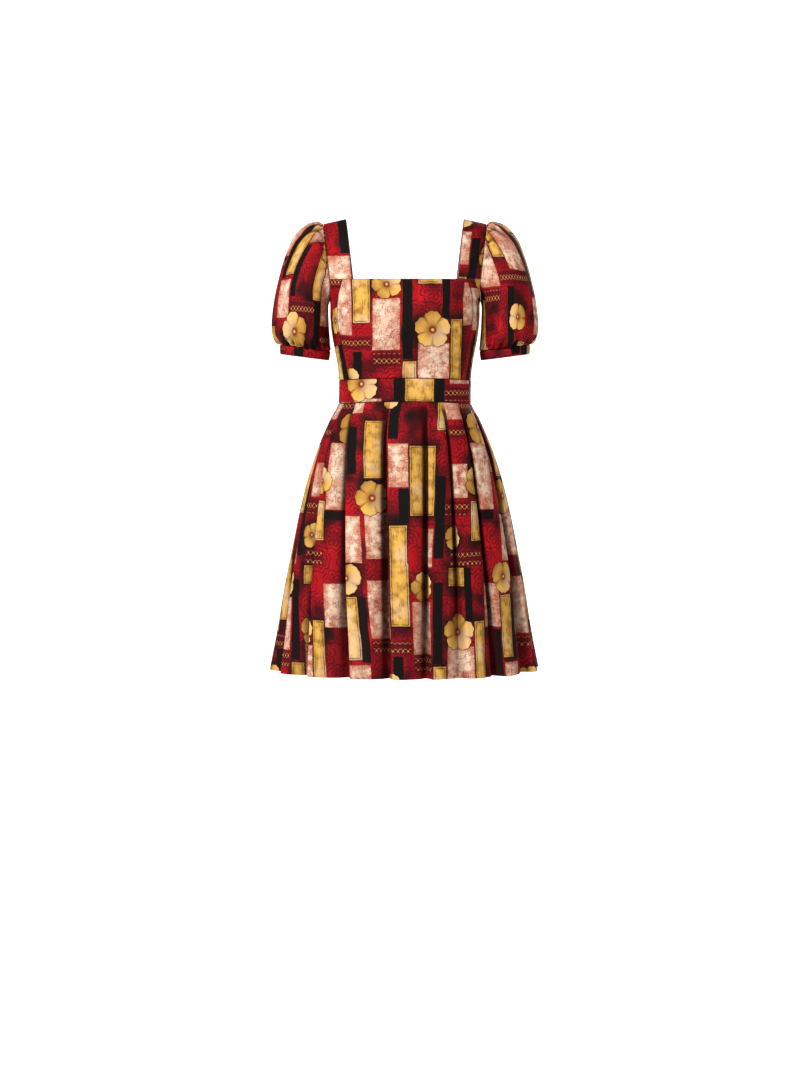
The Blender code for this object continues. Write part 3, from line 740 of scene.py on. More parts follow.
def cloth_sheet(name, points, normals, corner_place, thickness, materials, seam=0.0, closed=False):
    """A sheet of cloth from its grid; the first material faces the way of the normals."""
    numbers = np.arange(points[..., 0].size).reshape(points.shape[:2])
    faces = cells(once_round(numbers) if closed else numbers).reshape(-1, 4)
    corners = cells(corner_place).reshape(-1, 4, 2)
    if np.sum(grid_normals(points, closed) * normals) < 0:
        faces = faces[:, ::-1]
        corners = corners[:, ::-1]
    mesh = bpy.data.meshes.new(name)
    mesh.from_pydata(points.reshape(-1, 3).tolist(), [], faces.tolist())
    mesh.uv_layers.new(name="cut").uv.foreach_set("vector", corners.ravel().astype(np.float32))
    # Painted shade for each point, kept as an attribute that the cotton's colour reads
    shades = np.broadcast_to(seam, points.shape[:2]).ravel().astype(np.float32)
    mesh.attributes.new("seam", "FLOAT", "POINT").data.foreach_set("value", shades)
    for material in materials:
        mesh.materials.append(material)
    sheet = new_item(name, mesh)
    picked(sheet)
    wall = sheet.modifiers.new("cloth thickness", "SOLIDIFY")
    wall.thickness = thickness
    wall.offset = -1
    wall.material_offset = 1
    bpy.ops.object.modifier_apply(modifier=wall.name)
    bpy.ops.object.shade_smooth_by_angle(angle=SHEET_ANGLE)
    return sheet


def cut_area(place):
    """Area of the cut, added up over the grid's cells."""
    x, y = np.moveaxis(cells(place), -1, 0)
    return float(np.abs(np.sum(x * np.roll(y, -1, axis=2) - y * np.roll(x, -1, axis=2), axis=2)).sum() / 2)


def cloth_piece(node, points, normals, place, seams, held, offset, under=(), closed=False, shade=0.0):
    """The sheet that stands for a CAD node, from its grid, its outward normals and its cut map.

    Its edges roll down at the seams and darken with painted shade; an allowance goes under the next piece at
    the edges named last. The cut lies on the print at the offset.
    """
    # One weight rolls the edges down at the seams and is also the painted shade there; the piece's own painted
    # shade is laid over it
    seam = np.clip(1 - edge_distance(points, seams) / SEAM_ROLL, 0, 1) ** 2
    points = points - SEAM_DEPTH * seam[..., None] * normals
    grids = points, normals, place, np.maximum(seam, shade)
    for edge in under:
        grids = with_allowance(grids, edge)
    points, normals, place, seam = grids
    faces = (cotton_face, cotton_reverse)
    piece = cloth_sheet(node + "_cloth", points, normals, place + offset, COTTON_THICKNESS, faces, seam, closed)
    width, length = place.reshape(-1, 2).max(axis=0) - place.reshape(-1, 2).min(axis=0)
    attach(piece, "root")
    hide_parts(node)
    cut_area(place)
    print(f"{node} cut {width:.3f} x {length:.3f} area {cut_area(place):.4f} faces {len(piece.data.polygons)}")


ALL_ROUND = ("top", "bottom", "first", "last")
HANDS = (("left", 1.0), ("right", -1.0))


def both_hands(*pieces):
    """Sews pieces of the left hand and then, mirrored, of the right; the offsets are one for each hand."""
    for which, (hand, sign) in enumerate(HANDS):
        flip = np.array((sign, 1.0, 1.0))
        for node, points, normals, place, seams, offsets, under in pieces:
            grids = points * flip, normals * flip, place * flip[:2]
            cloth_piece(f"{node}_{hand}", *grids, seams, "hung", offsets[which], under)


# %% [markdown]
# ## Bodice
# The front has a wide centre panel between two princess seams, a narrow panel at each side and a strap
# over each shoulder; the back has two panels that meet at the zip. A fitted panel is nearly smooth, so
# it gets only a few shallow drag lines, toward the underarm and in to the waist.

# %% Grids of the bodice
LEVEL_COLUMNS = 10
ARM_COLUMNS = 46
BODICE_ROWS = 64
BACK_ROWS = 80
CENTRE_COLUMNS = 90
BACK_COLUMNS = 40
STRAP_COLUMNS = 16
STRAP_ROWS = 60
CENTRE_WIDTH = 0.24
CENTRE_LENGTH = 0.176
SIDE_LENGTH = 0.15
ARM_WIDTH = 0.06
BACK_LEVEL = 0.12
BAND_LENGTH = 0.042


def along_armhole(level, first, last):
    """Columns of the level edge and then of the armhole, and each one's drop down the armhole."""
    angles = math.pi / 2 * shares_to_seams(ARM_COLUMNS, ARM_WIDTH)
    columns = np.concatenate([level, first + (last - first) * (1 - np.cos(angles))])
    return columns, np.concatenate([0 * level, (NECK_Z - UNDERARM_Z) * np.sin(angles)])


def panel(count, length, drops, row_at):
    """Rows of a panel down to the waist seam; row_at gives the points of a row at its heights."""
    bottom = BAND_TOP_Z + SEAM_GAP - side_dip(row_at(BAND_TOP_Z)[:, 0], BAND_TOP_Z)
    shares = shares_to_seams(count, length)
    return np.array([row_at(NECK_Z - drops + share * (bottom - NECK_Z + drops)) for share in shares])


def centre_grid():
    """Centre front: from one princess seam to the other."""
    shares = 2 * shares_to_seams(CENTRE_COLUMNS, CENTRE_WIDTH) - 1

    def row_at(z):
        x = shares * smooth(PRINCESS, 1, z)
        across = (np.abs(x) / smooth(BODY, 1, z)) ** BODY_POWER
        y = -smooth(BODY, 2, z) * (1 - across) ** (1 / BODY_POWER)
        return np.stack([x, y, z + 0 * x], axis=-1)

    return panel(BODICE_ROWS, CENTRE_LENGTH, 0.0, row_at)


def side_front_grid():
    """Left side front: from the princess seam to the side seam."""
    start = body_turn(smooth(PRINCESS, 1, NECK_Z), NECK_Z)
    first = (body_turn(STRAP_LOW_X[1], NECK_Z) - start) / (math.pi / 2 - start)
    shares, drops = along_armhole(np.linspace(0, first, LEVEL_COLUMNS + 1)[:-1], first, 1.0)

    def row_at(z):
        seam = body_turn(smooth(PRINCESS, 1, z), z)
        return body_point(seam + shares * (math.pi / 2 - seam), z)

    return panel(BODICE_ROWS, SIDE_LENGTH, drops, row_at)


def back_grid():
    """Left back: from the centre back to the side seam."""
    strap_end = body_turn(STRAP_LOW_X[1], NECK_Z)
    near = np.array(SEAM_STEPS) / BACK_LEVEL
    level = strap_end * np.concatenate([near[:-1], np.linspace(near[-1], 1, BACK_COLUMNS)[:-1]])
    turns, drops = along_armhole(level, strap_end, math.pi / 2)
    return panel(BACK_ROWS, SIDE_LENGTH, drops, lambda z: body_point(turns, z, back=True))


def strap_point(across, turn, back=False):
    """Point of the left strap; across runs from the neck edge to the armhole edge."""
    low_x = STRAP_LOW_X[0] + across * (STRAP_LOW_X[1] - STRAP_LOW_X[0])
    top_x = STRAP_TOP_X[0] + across * (STRAP_TOP_X[1] - STRAP_TOP_X[0])
    top_z = -STRAP_FALL * across
    low_z = NECK_Z + SEAM_GAP
    low_y = body_point(body_turn(low_x, NECK_Z), NECK_Z, back)[..., 1]
    risen = 1 - (1 - np.sin(turn)) / (1 - math.sin(STRAP_START))
    x = low_x + risen * (top_x - low_x)
    y = low_y * np.cos(turn) / math.cos(STRAP_START)
    return np.stack([x, y, low_z + risen * (top_z - low_z)], axis=-1)


def strap_grid():
    across = shares_to_seams(STRAP_COLUMNS, BAND_LENGTH)
    turns = np.linspace(STRAP_START, math.pi / 2, STRAP_ROWS)
    front = [strap_point(across, turn + 0 * across) for turn in turns]
    back = [strap_point(across, turn + 0 * across, back=True) for turn in turns[:-1]]
    return np.array(front + back[::-1])


def drawn_in(points, first=SEAM_GAP / 2, last=SEAM_GAP / 2):
    """The grid with its first and last columns drawn in from the seam lines."""
    points = points.copy()
    points[:, 0] += np.reshape(first, (-1, 1)) * unit(points[:, 1] - points[:, 0])
    points[:, -1] += np.reshape(last, (-1, 1)) * unit(points[:, -2] - points[:, -1])
    return points


# %% Sew the bodice
CENTRE_CREASES = (
    # from across, down, to across, down, half width, height
    (-0.095, 0.15, -0.04, 0.168, 0.006, -0.001),
    (0.1, 0.14, 0.05, 0.163, 0.007, -0.0011),
    (-0.07, 0.12, -0.02, 0.15, 0.009, -0.0007),
    (0.075, 0.11, 0.02, 0.14, 0.01, -0.0008),
    (-0.105, 0.03, -0.06, 0.06, 0.01, -0.0009),
    (0.108, 0.026, 0.066, 0.052, 0.009, -0.0008),
    (-0.03, 0.166, 0.045, 0.16, 0.005, -0.0007),
)
SIDE_CREASES = (
    (0.01, 0.07, 0.045, 0.055, 0.006, -0.0009),
    (0.004, 0.13, 0.038, 0.122, 0.005, -0.0009),
    (0.008, 0.152, 0.036, 0.148, 0.004, -0.0007),
)
BACK_CREASES = (
    (0.01, 0.155, 0.09, 0.142, 0.006, -0.001),
    (0.02, 0.128, 0.11, 0.11, 0.008, -0.0009),
    (0.06, 0.05, 0.13, 0.075, 0.009, -0.001),
    (0.015, 0.168, 0.07, 0.165, 0.004, -0.0006),
)
ZIP_Z = -0.1230
SLIT_HALF = 0.0011
SLIT_REACH = 0.006


def slit(height):
    """Half the width by which the centre-back edges part round the zip's lug."""
    reach = np.clip(np.abs(height - ZIP_Z) / SLIT_REACH, 0, 1)
    return SLIT_HALF * np.cos(reach * math.pi / 2) ** 2


centre = centre_grid()
place = cut_place(centre, centre.shape[1] // 2)
normals = body_normals(centre)
front = creased(drawn_in(centre), normals, place, CENTRE_CREASES)
cloth_piece("front_centre", front, normals, place, ALL_ROUND, "hung", (0.160, 0.020), ("first", "last"))

side = side_front_grid()
side_place = cut_place(side)
side_normals = body_normals(side)
side_points = creased(drawn_in(side), side_normals, side_place, SIDE_CREASES)
back = back_grid()
back_place = cut_place(back)
back_normals = body_normals(back)
back_points = drawn_in(back, first=SEAM_GAP / 2 + slit(back[:, 0, 2]))
back_points = creased(back_points, back_normals, back_place, BACK_CREASES)
strap = strap_grid()
strap_place = np.stack([running_length(strap, 1), running_length(strap, 0)], axis=-1)
strap_normals = toward(grid_normals(strap), (0, 0, 1))
both_hands(
    ("side_front", side_points, side_normals, side_place, ("bottom", "first", "last"),
     ((0.300, 0.010), (0.060, 0.130)), ("last",)),
    ("back", back_points, back_normals, back_place, ALL_ROUND, ((0.050, 0.320), (0.290, 0.210)), ()),
    ("strap", strap, strap_normals, strap_place, ("first", "last"), ((0.135, 0.420), (0.330, 0.060)), ()),
)

# %% [markdown]
# ## Waistband
# The band is a flat double strip between bodice and skirt. It lies close to the body, so it has only
# two or three short wrinkles where the waist bends most.

# %% Sew the waistband
BAND_ROWS = 16
BAND_COLUMNS = 60
BAND_WIDTH = 0.16
BAND_CREASES = (
    (-0.09, 0.186, -0.078, 0.21, 0.004, -0.0005),
    (0.084, 0.184, 0.094, 0.208, 0.004, -0.0006),
    (-0.02, 0.2, 0.03, 0.204, 0.005, -0.0004),
)


def band_grid(turns, is_back):
    """Left half of the band, for turns from the centre to the side."""
    rows = []
    for share in shares_to_seams(BAND_ROWS, BAND_LENGTH):
        z = BAND_TOP_Z + share * (BAND_LOW_Z - BAND_TOP_Z)
        points = body_point(turns, z + 0 * turns, is_back)
        points[:, 2] -= side_dip(points[:, 0], z)
        rows.append(points)
    return np.array(rows)


quarter = math.pi / 2 * shares_to_seams(BAND_COLUMNS, BAND_WIDTH)
half = band_grid(quarter, False)
whole = np.concatenate([mirrored(half)[:, :0:-1], half], axis=1)
normals = body_normals(whole)
place = cut_place(whole, whole.shape[1] // 2)
points = creased(drawn_in(whole), normals, place, BAND_CREASES)
cloth_piece("waistband_front", points, normals, place, ALL_ROUND, "hung", (0.100, 0.205), ("top", "bottom"))
half = band_grid(quarter, True)
normals = body_normals(half)
place = cut_place(half)
points = creased(drawn_in(half), normals, place, BAND_CREASES[1:])
both_hands(("waistband_back", points, normals, place, ALL_ROUND,
            ((0.210, 0.300), (0.020, 0.090)), ("top", "bottom", "last")))

# %% [markdown]
# ## Pleated skirt
# The skirt is wider than the waist, and the spare width is folded into knife pleats that all turn one
# way. At the band each pleat laps over the next and shows a crisp edge with a dark hollow behind it;
# lower down the laps open into soft flutes. Painted shade darkens the hollows and flutes, on top of the
# shade that their depth gives. The cut map keeps the cloth that a pleat hides, so the print jumps at
# each fold as it does on the real one.

# %% Shapes of the pleats
# How round the sections are, and how a pleat's fold, lap and painted shade change from crisp to soft
SKIRT_POWER_TOP = 2.5
SKIRT_POWER_HEM = 2.1
SKIRT_POWER_FADE = 0.15
HEM_TO_WAIST = 2.15
RISE_LEAST = 0.006
RISE_COLUMNS = 9
FALL_COLUMNS = 19
LAP = 0.0050
FOLD_DEEPER = 1.45
RISE_SOFT = 0.66
RISE_CRISP = 0.30
STEEP_FROM = 0.80
HOLLOW_SHADE = 0.92
SOFT_SHADE = 0.42
FLUTE_SHADE = 85.0
WAIST_FLARE = 0.80
RING_POINTS = 1441
SKIRT_ROWS = 104
CRISP_SPAN = 0.15
CRISP_HELD = 0.4
CLOSE_TO_CREST = 1.5
LAP_START = 0.35
LAP_GROWS = 8
DIP_FADES = 8
OPENS = 30
FLAT_SOFT = 0.12
FLAT_CRISP = 0.38
STEEP_CRISP = 0.70
HOLLOW_DARK = 1.4
NEAR_FROM = 0.06
NEAR_SPAN = 0.42
SOFT_FROM = 0.45
SOFT_SPAN = 0.5
UNDER_HEM = 0.0006
HEM_SHARES = (0.0, 0.2, 0.6, 1.0)
HEM_TURN = 0.012
HEM_CLEAR = 0.0021
PLEATS = (
    # share of the way round at the waist, at the hem, hollow depth, share of the length that stays crisp
    (-0.25, -0.25, 0.8, 0.7), (-0.222, -0.195, 0.95, 1.15), (-0.188, -0.139, 1.15, 1.4),
    (-0.14, -0.0775, 1.05, 1.35), (-0.0445, -0.022, 1.0, 1.45), (0.0523, 0.027, 0.9, 1.35),
    (0.1, 0.072, 0.65, 1.1), (0.152, 0.1256, 1.15, 1.45), (0.21, 0.19, 0.95, 1.15),
    (0.25, 0.25, 0.8, 0.75), (0.312, 0.314, 1.0, 1.1), (0.376, 0.372, 1.1, 1.25),
    (0.436, 0.438, 0.9, 0.9), (0.5, 0.5, 0.8, 0.8), (0.56, 0.562, 1.0, 1.2),
    (0.622, 0.627, 1.1, 1.05), (0.688, 0.69, 0.9, 0.85),
)
FLUTES = (
    # pleat, place across its panel, half width, way down at which it starts, depth
    (0, 0.45, 0.16, 0.55, 0.0022), (1, 0.55, 0.15, 0.4, 0.003), (2, 0.42, 0.13, 0.5, 0.0034),
    (3, 0.35, 0.12, 0.35, 0.004), (3, 0.7, 0.1, 0.62, 0.0022), (4, 0.5, 0.13, 0.55, 0.0026),
    (5, 0.4, 0.14, 0.45, 0.003), (6, 0.55, 0.12, 0.38, 0.0036), (7, 0.38, 0.12, 0.52, 0.003),
    (7, 0.72, 0.09, 0.68, 0.0018), (8, 0.5, 0.16, 0.48, 0.0028), (9, 0.45, 0.13, 0.5, 0.003),
    (10, 0.55, 0.14, 0.42, 0.0034), (11, 0.4, 0.12, 0.58, 0.0026), (12, 0.52, 0.13, 0.46, 0.003),
    (13, 0.44, 0.14, 0.54, 0.0028), (14, 0.58, 0.12, 0.4, 0.0036), (15, 0.42, 0.13, 0.6, 0.0024),
    (16, 0.5, 0.15, 0.5, 0.003),
)


def skirt_ring(height):
    """Outline of one skirt section: shares of its length from the centre front, and its points."""
    fade = min(1.0, (SKIRT[0][0] - height) / SKIRT_POWER_FADE)
    power = SKIRT_POWER_TOP + fade * (SKIRT_POWER_HEM - SKIRT_POWER_TOP)
    turns = np.linspace(-math.pi, math.pi, RING_POINTS)
    x = np.sign(np.sin(turns)) * np.abs(np.sin(turns)) ** (2 / power) * smooth(SKIRT, 1, height)
    depth = np.where(np.cos(turns) > 0, smooth(SKIRT, 2, height), smooth(SKIRT, 3, height))
    y = -np.sign(np.cos(turns)) * np.abs(np.cos(turns)) ** (2 / power) * depth
    lengths = np.concatenate([[0], np.cumsum(np.hypot(np.diff(x), np.diff(y)))])
    return lengths / lengths[-1] - 0.5, x, y, lengths[-1]


def eased(part):
    """A smooth step from 0 to 1."""
    part = np.clip(part, 0, 1)
    return part * part * (3 - 2 * part)


def pleat_row(height, first, last):
    """One row of skirt points from one pleat's hollow to another's, with outward directions and painted shade.
    """
    ring_share, ring_x, ring_y, length = skirt_ring(height)
    way = (height - SKIRT[0][0]) / (HEM_Z - SKIRT[0][0])
    spread = way * HEM_TO_WAIST / (1 - way + way * HEM_TO_WAIST)
    fold = smooth(SKIRT, 4, height) * FOLD_DEEPER
    rise = smooth(SKIRT, 5, height)
    around = PLEATS + ((PLEATS[0][0] + 1, PLEATS[0][1] + 1, *PLEATS[0][2:]),)
    starts = [waist + (hem - waist) * spread for waist, hem, _, _ in around]
    depths = [fold * deep for _, _, deep, _ in around]
    held = [CRISP_HELD * stays for _, _, _, stays in around]
    crisps = [float(1 - eased((way - low) / (row[3] + CRISP_SPAN - low))) for row, low in zip(around, held)]
    rising = np.arange(RISE_COLUMNS) / RISE_COLUMNS
    falling = 1 - (1 - np.arange(FALL_COLUMNS) / FALL_COLUMNS) ** CLOSE_TO_CREST
    opening = min(1.0, way * OPENS)
    laps = [LAP * crisp * min(1.0, LAP_START + way * LAP_GROWS) / length for crisp in crisps]
    shares = []
    hollows = []
    shades = []
    for pleat in range(first, last):
        start = starts[pleat]
        width = starts[pleat + 1] - start
        crisp, next_crisp = crisps[pleat], crisps[pleat + 1]
        crest = max(rise * (RISE_SOFT + (RISE_CRISP - RISE_SOFT) * crisp), RISE_LEAST / (width * length))
        lap, next_lap = laps[pleat], laps[pleat + 1]
        shares.append(start + width * crest * rising + lap * (0.5 - 1.5 * rising))
        soft = 0.5 * (1 + np.cos(math.pi * rising))
        hollows.append(depths[pleat] * (soft + crisp * (1 - rising - soft)))
        # Painted shade: dark in the hollow behind each crisp crest, softer where the fold is soft
        hollow = eased(HOLLOW_DARK * (1 - rising))
        shades.append(opening * np.maximum(crisp * hollow, SOFT_SHADE * eased(1 - rising)))
        flat = FLAT_SOFT + FLAT_CRISP * next_crisp
        steep = STEEP_CRISP * next_crisp
        shares.append(start + width * (crest + (1 - crest) * falling)
                      - lap * (1 - falling) ** 4 + 0.5 * next_lap * falling ** 8)
        slope = (1 - steep) * eased((falling - flat) / (1 - flat))
        fall = slope + steep * eased((falling - STEEP_FROM) / (1 - STEEP_FROM))
        # Painted shade on the panel as it falls toward the next hollow, and in its flutes
        soft = SOFT_SHADE * eased((falling - SOFT_FROM) / SOFT_SPAN)
        near = np.maximum(next_crisp * eased((fall - NEAR_FROM) / NEAR_SPAN), soft)
        panel = depths[pleat + 1] * fall
        for which, at, half_width, begins, deep in FLUTES:
            if which == pleat:
                share = np.exp(-((falling - at) / half_width) ** 2) * np.sin(math.pi * falling) ** 0.5
                flute = deep * float(eased((way - begins) / (1 - begins))) * share
                panel = panel + flute
                near = np.maximum(near, flute * FLUTE_SHADE)
        hollows.append(panel)
        shades.append(opening * near)
    shares.append([starts[last] + 0.5 * laps[last]])
    hollows.append([depths[last]])
    shades.append([crisps[last] * opening])
    shares = (np.concatenate(shares) + 0.5) % 1.0 - 0.5
    hollows = np.concatenate(hollows)
    step = 0.001
    before, after = ((shares + move + 0.5) % 1.0 - 0.5 for move in (-step, step))
    run_x, run_y = (np.interp(after, ring_share, ring_line) - np.interp(before, ring_share, ring_line)
                    for ring_line in (ring_x, ring_y))
    size = np.hypot(run_x, run_y)
    out = np.stack([run_y / size, -run_x / size, 0 * size], axis=-1)
    x = np.interp(shares, ring_share, ring_x) - hollows * out[:, 0]
    y = np.interp(shares, ring_share, ring_y) - hollows * out[:, 1]
    fade = max(0.0, 1 - way * DIP_FADES)
    z = height - fade * SIDE_DIP * (x / smooth(SKIRT, 1, height)) ** 2
    return np.stack([x, y, z], axis=-1), out, HOLLOW_SHADE * np.concatenate(shades)


# %% Sew the skirt
def skirt_place(points, first, last, centre_pleat):
    """Cut map of a skirt piece: straight down each fold, with the cloth that the pleats hide."""
    per_pleat = RISE_COLUMNS + FALL_COLUMNS
    across = running_length(points, 1)
    down = running_length(points, 0).mean(axis=1)
    hem = len(points) - 1
    way = down / down[-1]
    flare = WAIST_FLARE + (1 - WAIST_FLARE) * way
    crests = [(pleat - first) * per_pleat + RISE_COLUMNS for pleat in range(first, last)]
    origin = across[hem, crests[centre_pleat - first]] if centre_pleat < last else across[hem, -1]
    place = np.zeros(points.shape[:2])
    for order, crest in enumerate(crests):
        base = (across[hem, crest] - origin) * flare
        end = crests[order + 1] - RISE_COLUMNS if order + 1 < len(crests) else points.shape[1] - 1
        panel = slice(crest, end + 1)
        place[:, panel] = base[:, None] + across[:, panel] - across[:, crest:crest + 1]
        before = crest - RISE_COLUMNS
        if order == 0:
            low = base - (across[:, crest] - across[:, before])
        else:
            low = place[:, before]
        part = np.linspace(0, 1, RISE_COLUMNS + 1)
        place[:, before:crest + 1] = low[:, None] + (base - low)[:, None] * part
    return np.stack([place, np.broadcast_to(down[:, None], place.shape)], axis=-1)


skirt_shares = shares_to_seams(SKIRT_ROWS, SKIRT[0][0] - HEM_Z)
skirt_heights = SKIRT[0][0] + skirt_shares * (HEM_Z - SKIRT[0][0])
skirt_pieces = (
    # node, first pleat, last pleat, pleat at the middle of the cut, cut's place on the print
    ("skirt_front", 0, 9, 4, (0.060, 0.215)),
    ("skirt_back_left", 9, 13, 9, (0.250, 0.060)),
    ("skirt_back_right", 13, 17, 13, (0.120, 0.300)),
)
for node, first, last, middle, shift in skirt_pieces:
    rows = [pleat_row(height, first, last) for height in skirt_heights]
    points = np.array([row[0] for row in rows])
    normals = toward(grid_normals(points), np.array([row[1] for row in rows]))
    shade = np.array([row[2] for row in rows])
    turn_up = []
    for rise_up in HEM_SHARES:
        row = pleat_row(HEM_Z + rise_up * HEM_TURN, first, last)[0]
        turn_up.append(row - HEM_CLEAR * normals[-1 - int(rise_up * 4)])
    turn_up = np.array(turn_up)
    lowest = (points[-1] + turn_up[0]) / 2 - np.array((0, 0, UNDER_HEM))
    points = drawn_in(np.concatenate([points, lowest[None], turn_up]))
    normals = np.concatenate([normals, normals[-1:], -normals[-1:].repeat(len(turn_up), axis=0)])
    shade = np.concatenate([shade, shade[-1:].repeat(len(turn_up) + 1, axis=0)])
    place = skirt_place(points, first, last, middle)
    seams = ("top", "first", "last")
    cloth_piece(node, points, normals, place, seams, "gathered", shift, ("last",), shade=shade)

# %% [markdown]
# ## Puff sleeves and cuffs
# A puff sleeve is cut wider than the armhole and the cuff, and gathering threads draw it in at both. The
# spare cloth stands up round the head and swells out over the cuff. The gathers are listed one at a
# time, uneven in length, depth and spacing, and fade into the smooth puff.

# %% Grids of the sleeves
SLEEVE_COLUMNS = 300
SLEEVE_CUT_WIDTH = 0.50
SLEEVE_MIDDLE_X = 0.187
SLEEVE_HALF_WIDTH = 0.051
SLEEVE_HALF_DEPTH = 0.070
CAP_START_Z = -0.130
CAP_SHIFT = 0.058
GATHER_RISE = 0.006
GATHER_DEEPER = 1.35
GATHER_WIDENS = 0.5
GATHER_FADE = 1.2
GATHER_START = 0.25
SWELL = 0.45
SWELL_AWAY = 2.1
EDGE_START = 0.10
CUFF_ROWS = 12
CUFF_LENGTH = 0.018
GATHER_SHADE = 0.80
GATHER_DARK = 0.0034
CAP_GATHERS = (
    # place round the armhole in degrees from the shoulder, half width, length and depth in metres
    (-96, 5.0, 0.017, 0.0023), (-82, 4.0, 0.033, 0.0034), (-70, 3.2, 0.024, 0.003),
    (-59, 4.4, 0.044, 0.0049), (-48, 3.0, 0.028, 0.0038), (-39, 4.2, 0.056, 0.0057),
    (-29, 2.8, 0.034, 0.0042), (-20, 3.8, 0.06, 0.0057), (-11, 2.6, 0.03, 0.0042),
    (-3, 3.4, 0.048, 0.0053), (6, 2.8, 0.036, 0.0046), (14, 3.8, 0.064, 0.0061),
    (24, 2.8, 0.033, 0.0038), (33, 4.4, 0.068, 0.0065), (44, 3.0, 0.03, 0.0038),
    (54, 4.2, 0.053, 0.0053), (66, 3.2, 0.026, 0.0034), (78, 4.4, 0.036, 0.0038),
    (92, 4.8, 0.02, 0.0025),
)
CUFF_GATHERS = (
    # place round the cuff in degrees from the outer side, half width, length and depth in metres
    (-171, 4.6, 0.02, 0.0022), (-153, 4.0, 0.028, 0.0032), (-137, 4.4, 0.036, 0.004),
    (-122, 3.4, 0.025, 0.0034), (-108, 4.2, 0.039, 0.0047), (-93, 3.4, 0.03, 0.004),
    (-80, 4.0, 0.045, 0.0054), (-66, 3.2, 0.028, 0.004), (-54, 4.0, 0.042, 0.005),
    (-41, 3.2, 0.031, 0.004), (-29, 4.2, 0.048, 0.0054), (-16, 3.4, 0.029, 0.004),
    (-3, 4.0, 0.043, 0.005), (10, 3.2, 0.033, 0.004), (22, 4.0, 0.047, 0.0054),
    (36, 3.4, 0.028, 0.004), (48, 4.2, 0.04, 0.005), (62, 3.4, 0.033, 0.0043),
    (75, 4.0, 0.044, 0.0054), (90, 3.4, 0.026, 0.0038), (104, 4.2, 0.037, 0.0047),
    (119, 3.6, 0.029, 0.0036), (135, 4.2, 0.034, 0.0038), (152, 4.0, 0.025, 0.0031),
)
RING_PLACES = np.concatenate([
    np.linspace(0, 0.12, 5)[:-1], np.linspace(0.12, 3, 36)[:-1], np.linspace(3, 8, 30)[:-1],
    np.linspace(8, 10.85, 36)[:-1], np.linspace(10.85, 11, 5),
])


def armhole_line():
    """The left armhole's edge, from the shoulder down the front and up the back."""
    turns = np.linspace(STRAP_START, math.pi / 2, STRAP_ROWS)
    edge = np.ones_like(turns)
    front_strap = strap_point(edge, turns)[::-1]
    back_strap = strap_point(edge, turns, back=True)
    front_dip = side_front_grid()[0, LEVEL_COLUMNS:]
    back_dip = back_grid()[0, -len(front_dip):]
    down = np.concatenate([front_strap, front_dip[1:]])
    up = np.concatenate([back_dip[::-1], back_strap[1:]])
    return down, up


def sleeve_head(turns):
    """Armhole points for turns from the shoulder (0) by the front and the underarm (half a turn)."""
    points = np.zeros((len(turns), 3))
    for line, low in zip(armhole_line(), (0.0, math.pi)):
        steps = np.linalg.norm(np.diff(line, axis=0), axis=1)
        way = np.concatenate([[0], np.cumsum(steps)])
        way = low + math.pi * way / way[-1]
        mine = (turns >= low) & (turns <= low + math.pi)
        for axis in range(3):
            points[mine, axis] = np.interp(turns[mine], way, line[:, axis])
    return points


def through(rings, places):
    """Rings at any place of a list of rings, on a smooth curve through them."""
    slopes = np.gradient(rings, axis=0)
    low = np.clip(np.floor(places).astype(int), 0, len(rings) - 2)
    t = (places - low)[:, None, None]
    from_low = (1 + 2 * t) * (1 - t) ** 2 * rings[low] + t * (1 - t) ** 2 * slopes[low]
    return from_low + t * t * (3 - 2 * t) * rings[low + 1] + t * t * (t - 1) * slopes[low + 1]


def gathered(turns, away, gathers, lean):
    """How far each point sinks into the gathers that start at an edge, from its distance to the edge."""
    sunk = np.zeros(away.shape)
    degrees = (np.degrees(turns) + 180) % 360 - 180
    for at, half, length, depth in gathers:
        off = (degrees[None] - at - lean * away + 180) % 360 - 180
        width = half * (1 + GATHER_WIDENS * away / length)
        reach = np.clip(1 - away / length, 0, 1) ** GATHER_FADE
        start = np.minimum(1.0, GATHER_START + away / GATHER_RISE)
        valley = np.exp(-(off / width) ** 2)
        swell = SWELL * np.exp(-((off - SWELL_AWAY * width) / width) ** 2)
        sunk += depth * reach * start * (valley - swell)
    return sunk


def sleeve_place(points, down):
    """Cut map of a sleeve: the grain runs straight down at the front, and over the top at the outer side."""
    high = np.clip((points[..., 2] - CAP_START_Z) / -CAP_START_Z, 0, 1)
    middle = SLEEVE_MIDDLE_X - CAP_SHIFT * high ** 1.5
    turn = np.arctan2(-points[..., 1] / SLEEVE_HALF_DEPTH, (points[..., 0] - middle) / SLEEVE_HALF_WIDTH)
    turn = np.unwrap(turn, axis=1)
    outer = np.clip(np.cos(turn), 0, 1) ** 2
    straight = points[-1:, :, 2] - points[..., 2]
    below = straight + outer * (down - straight)
    return np.stack([SLEEVE_CUT_WIDTH * turn / (2 * math.pi), below], axis=-1)


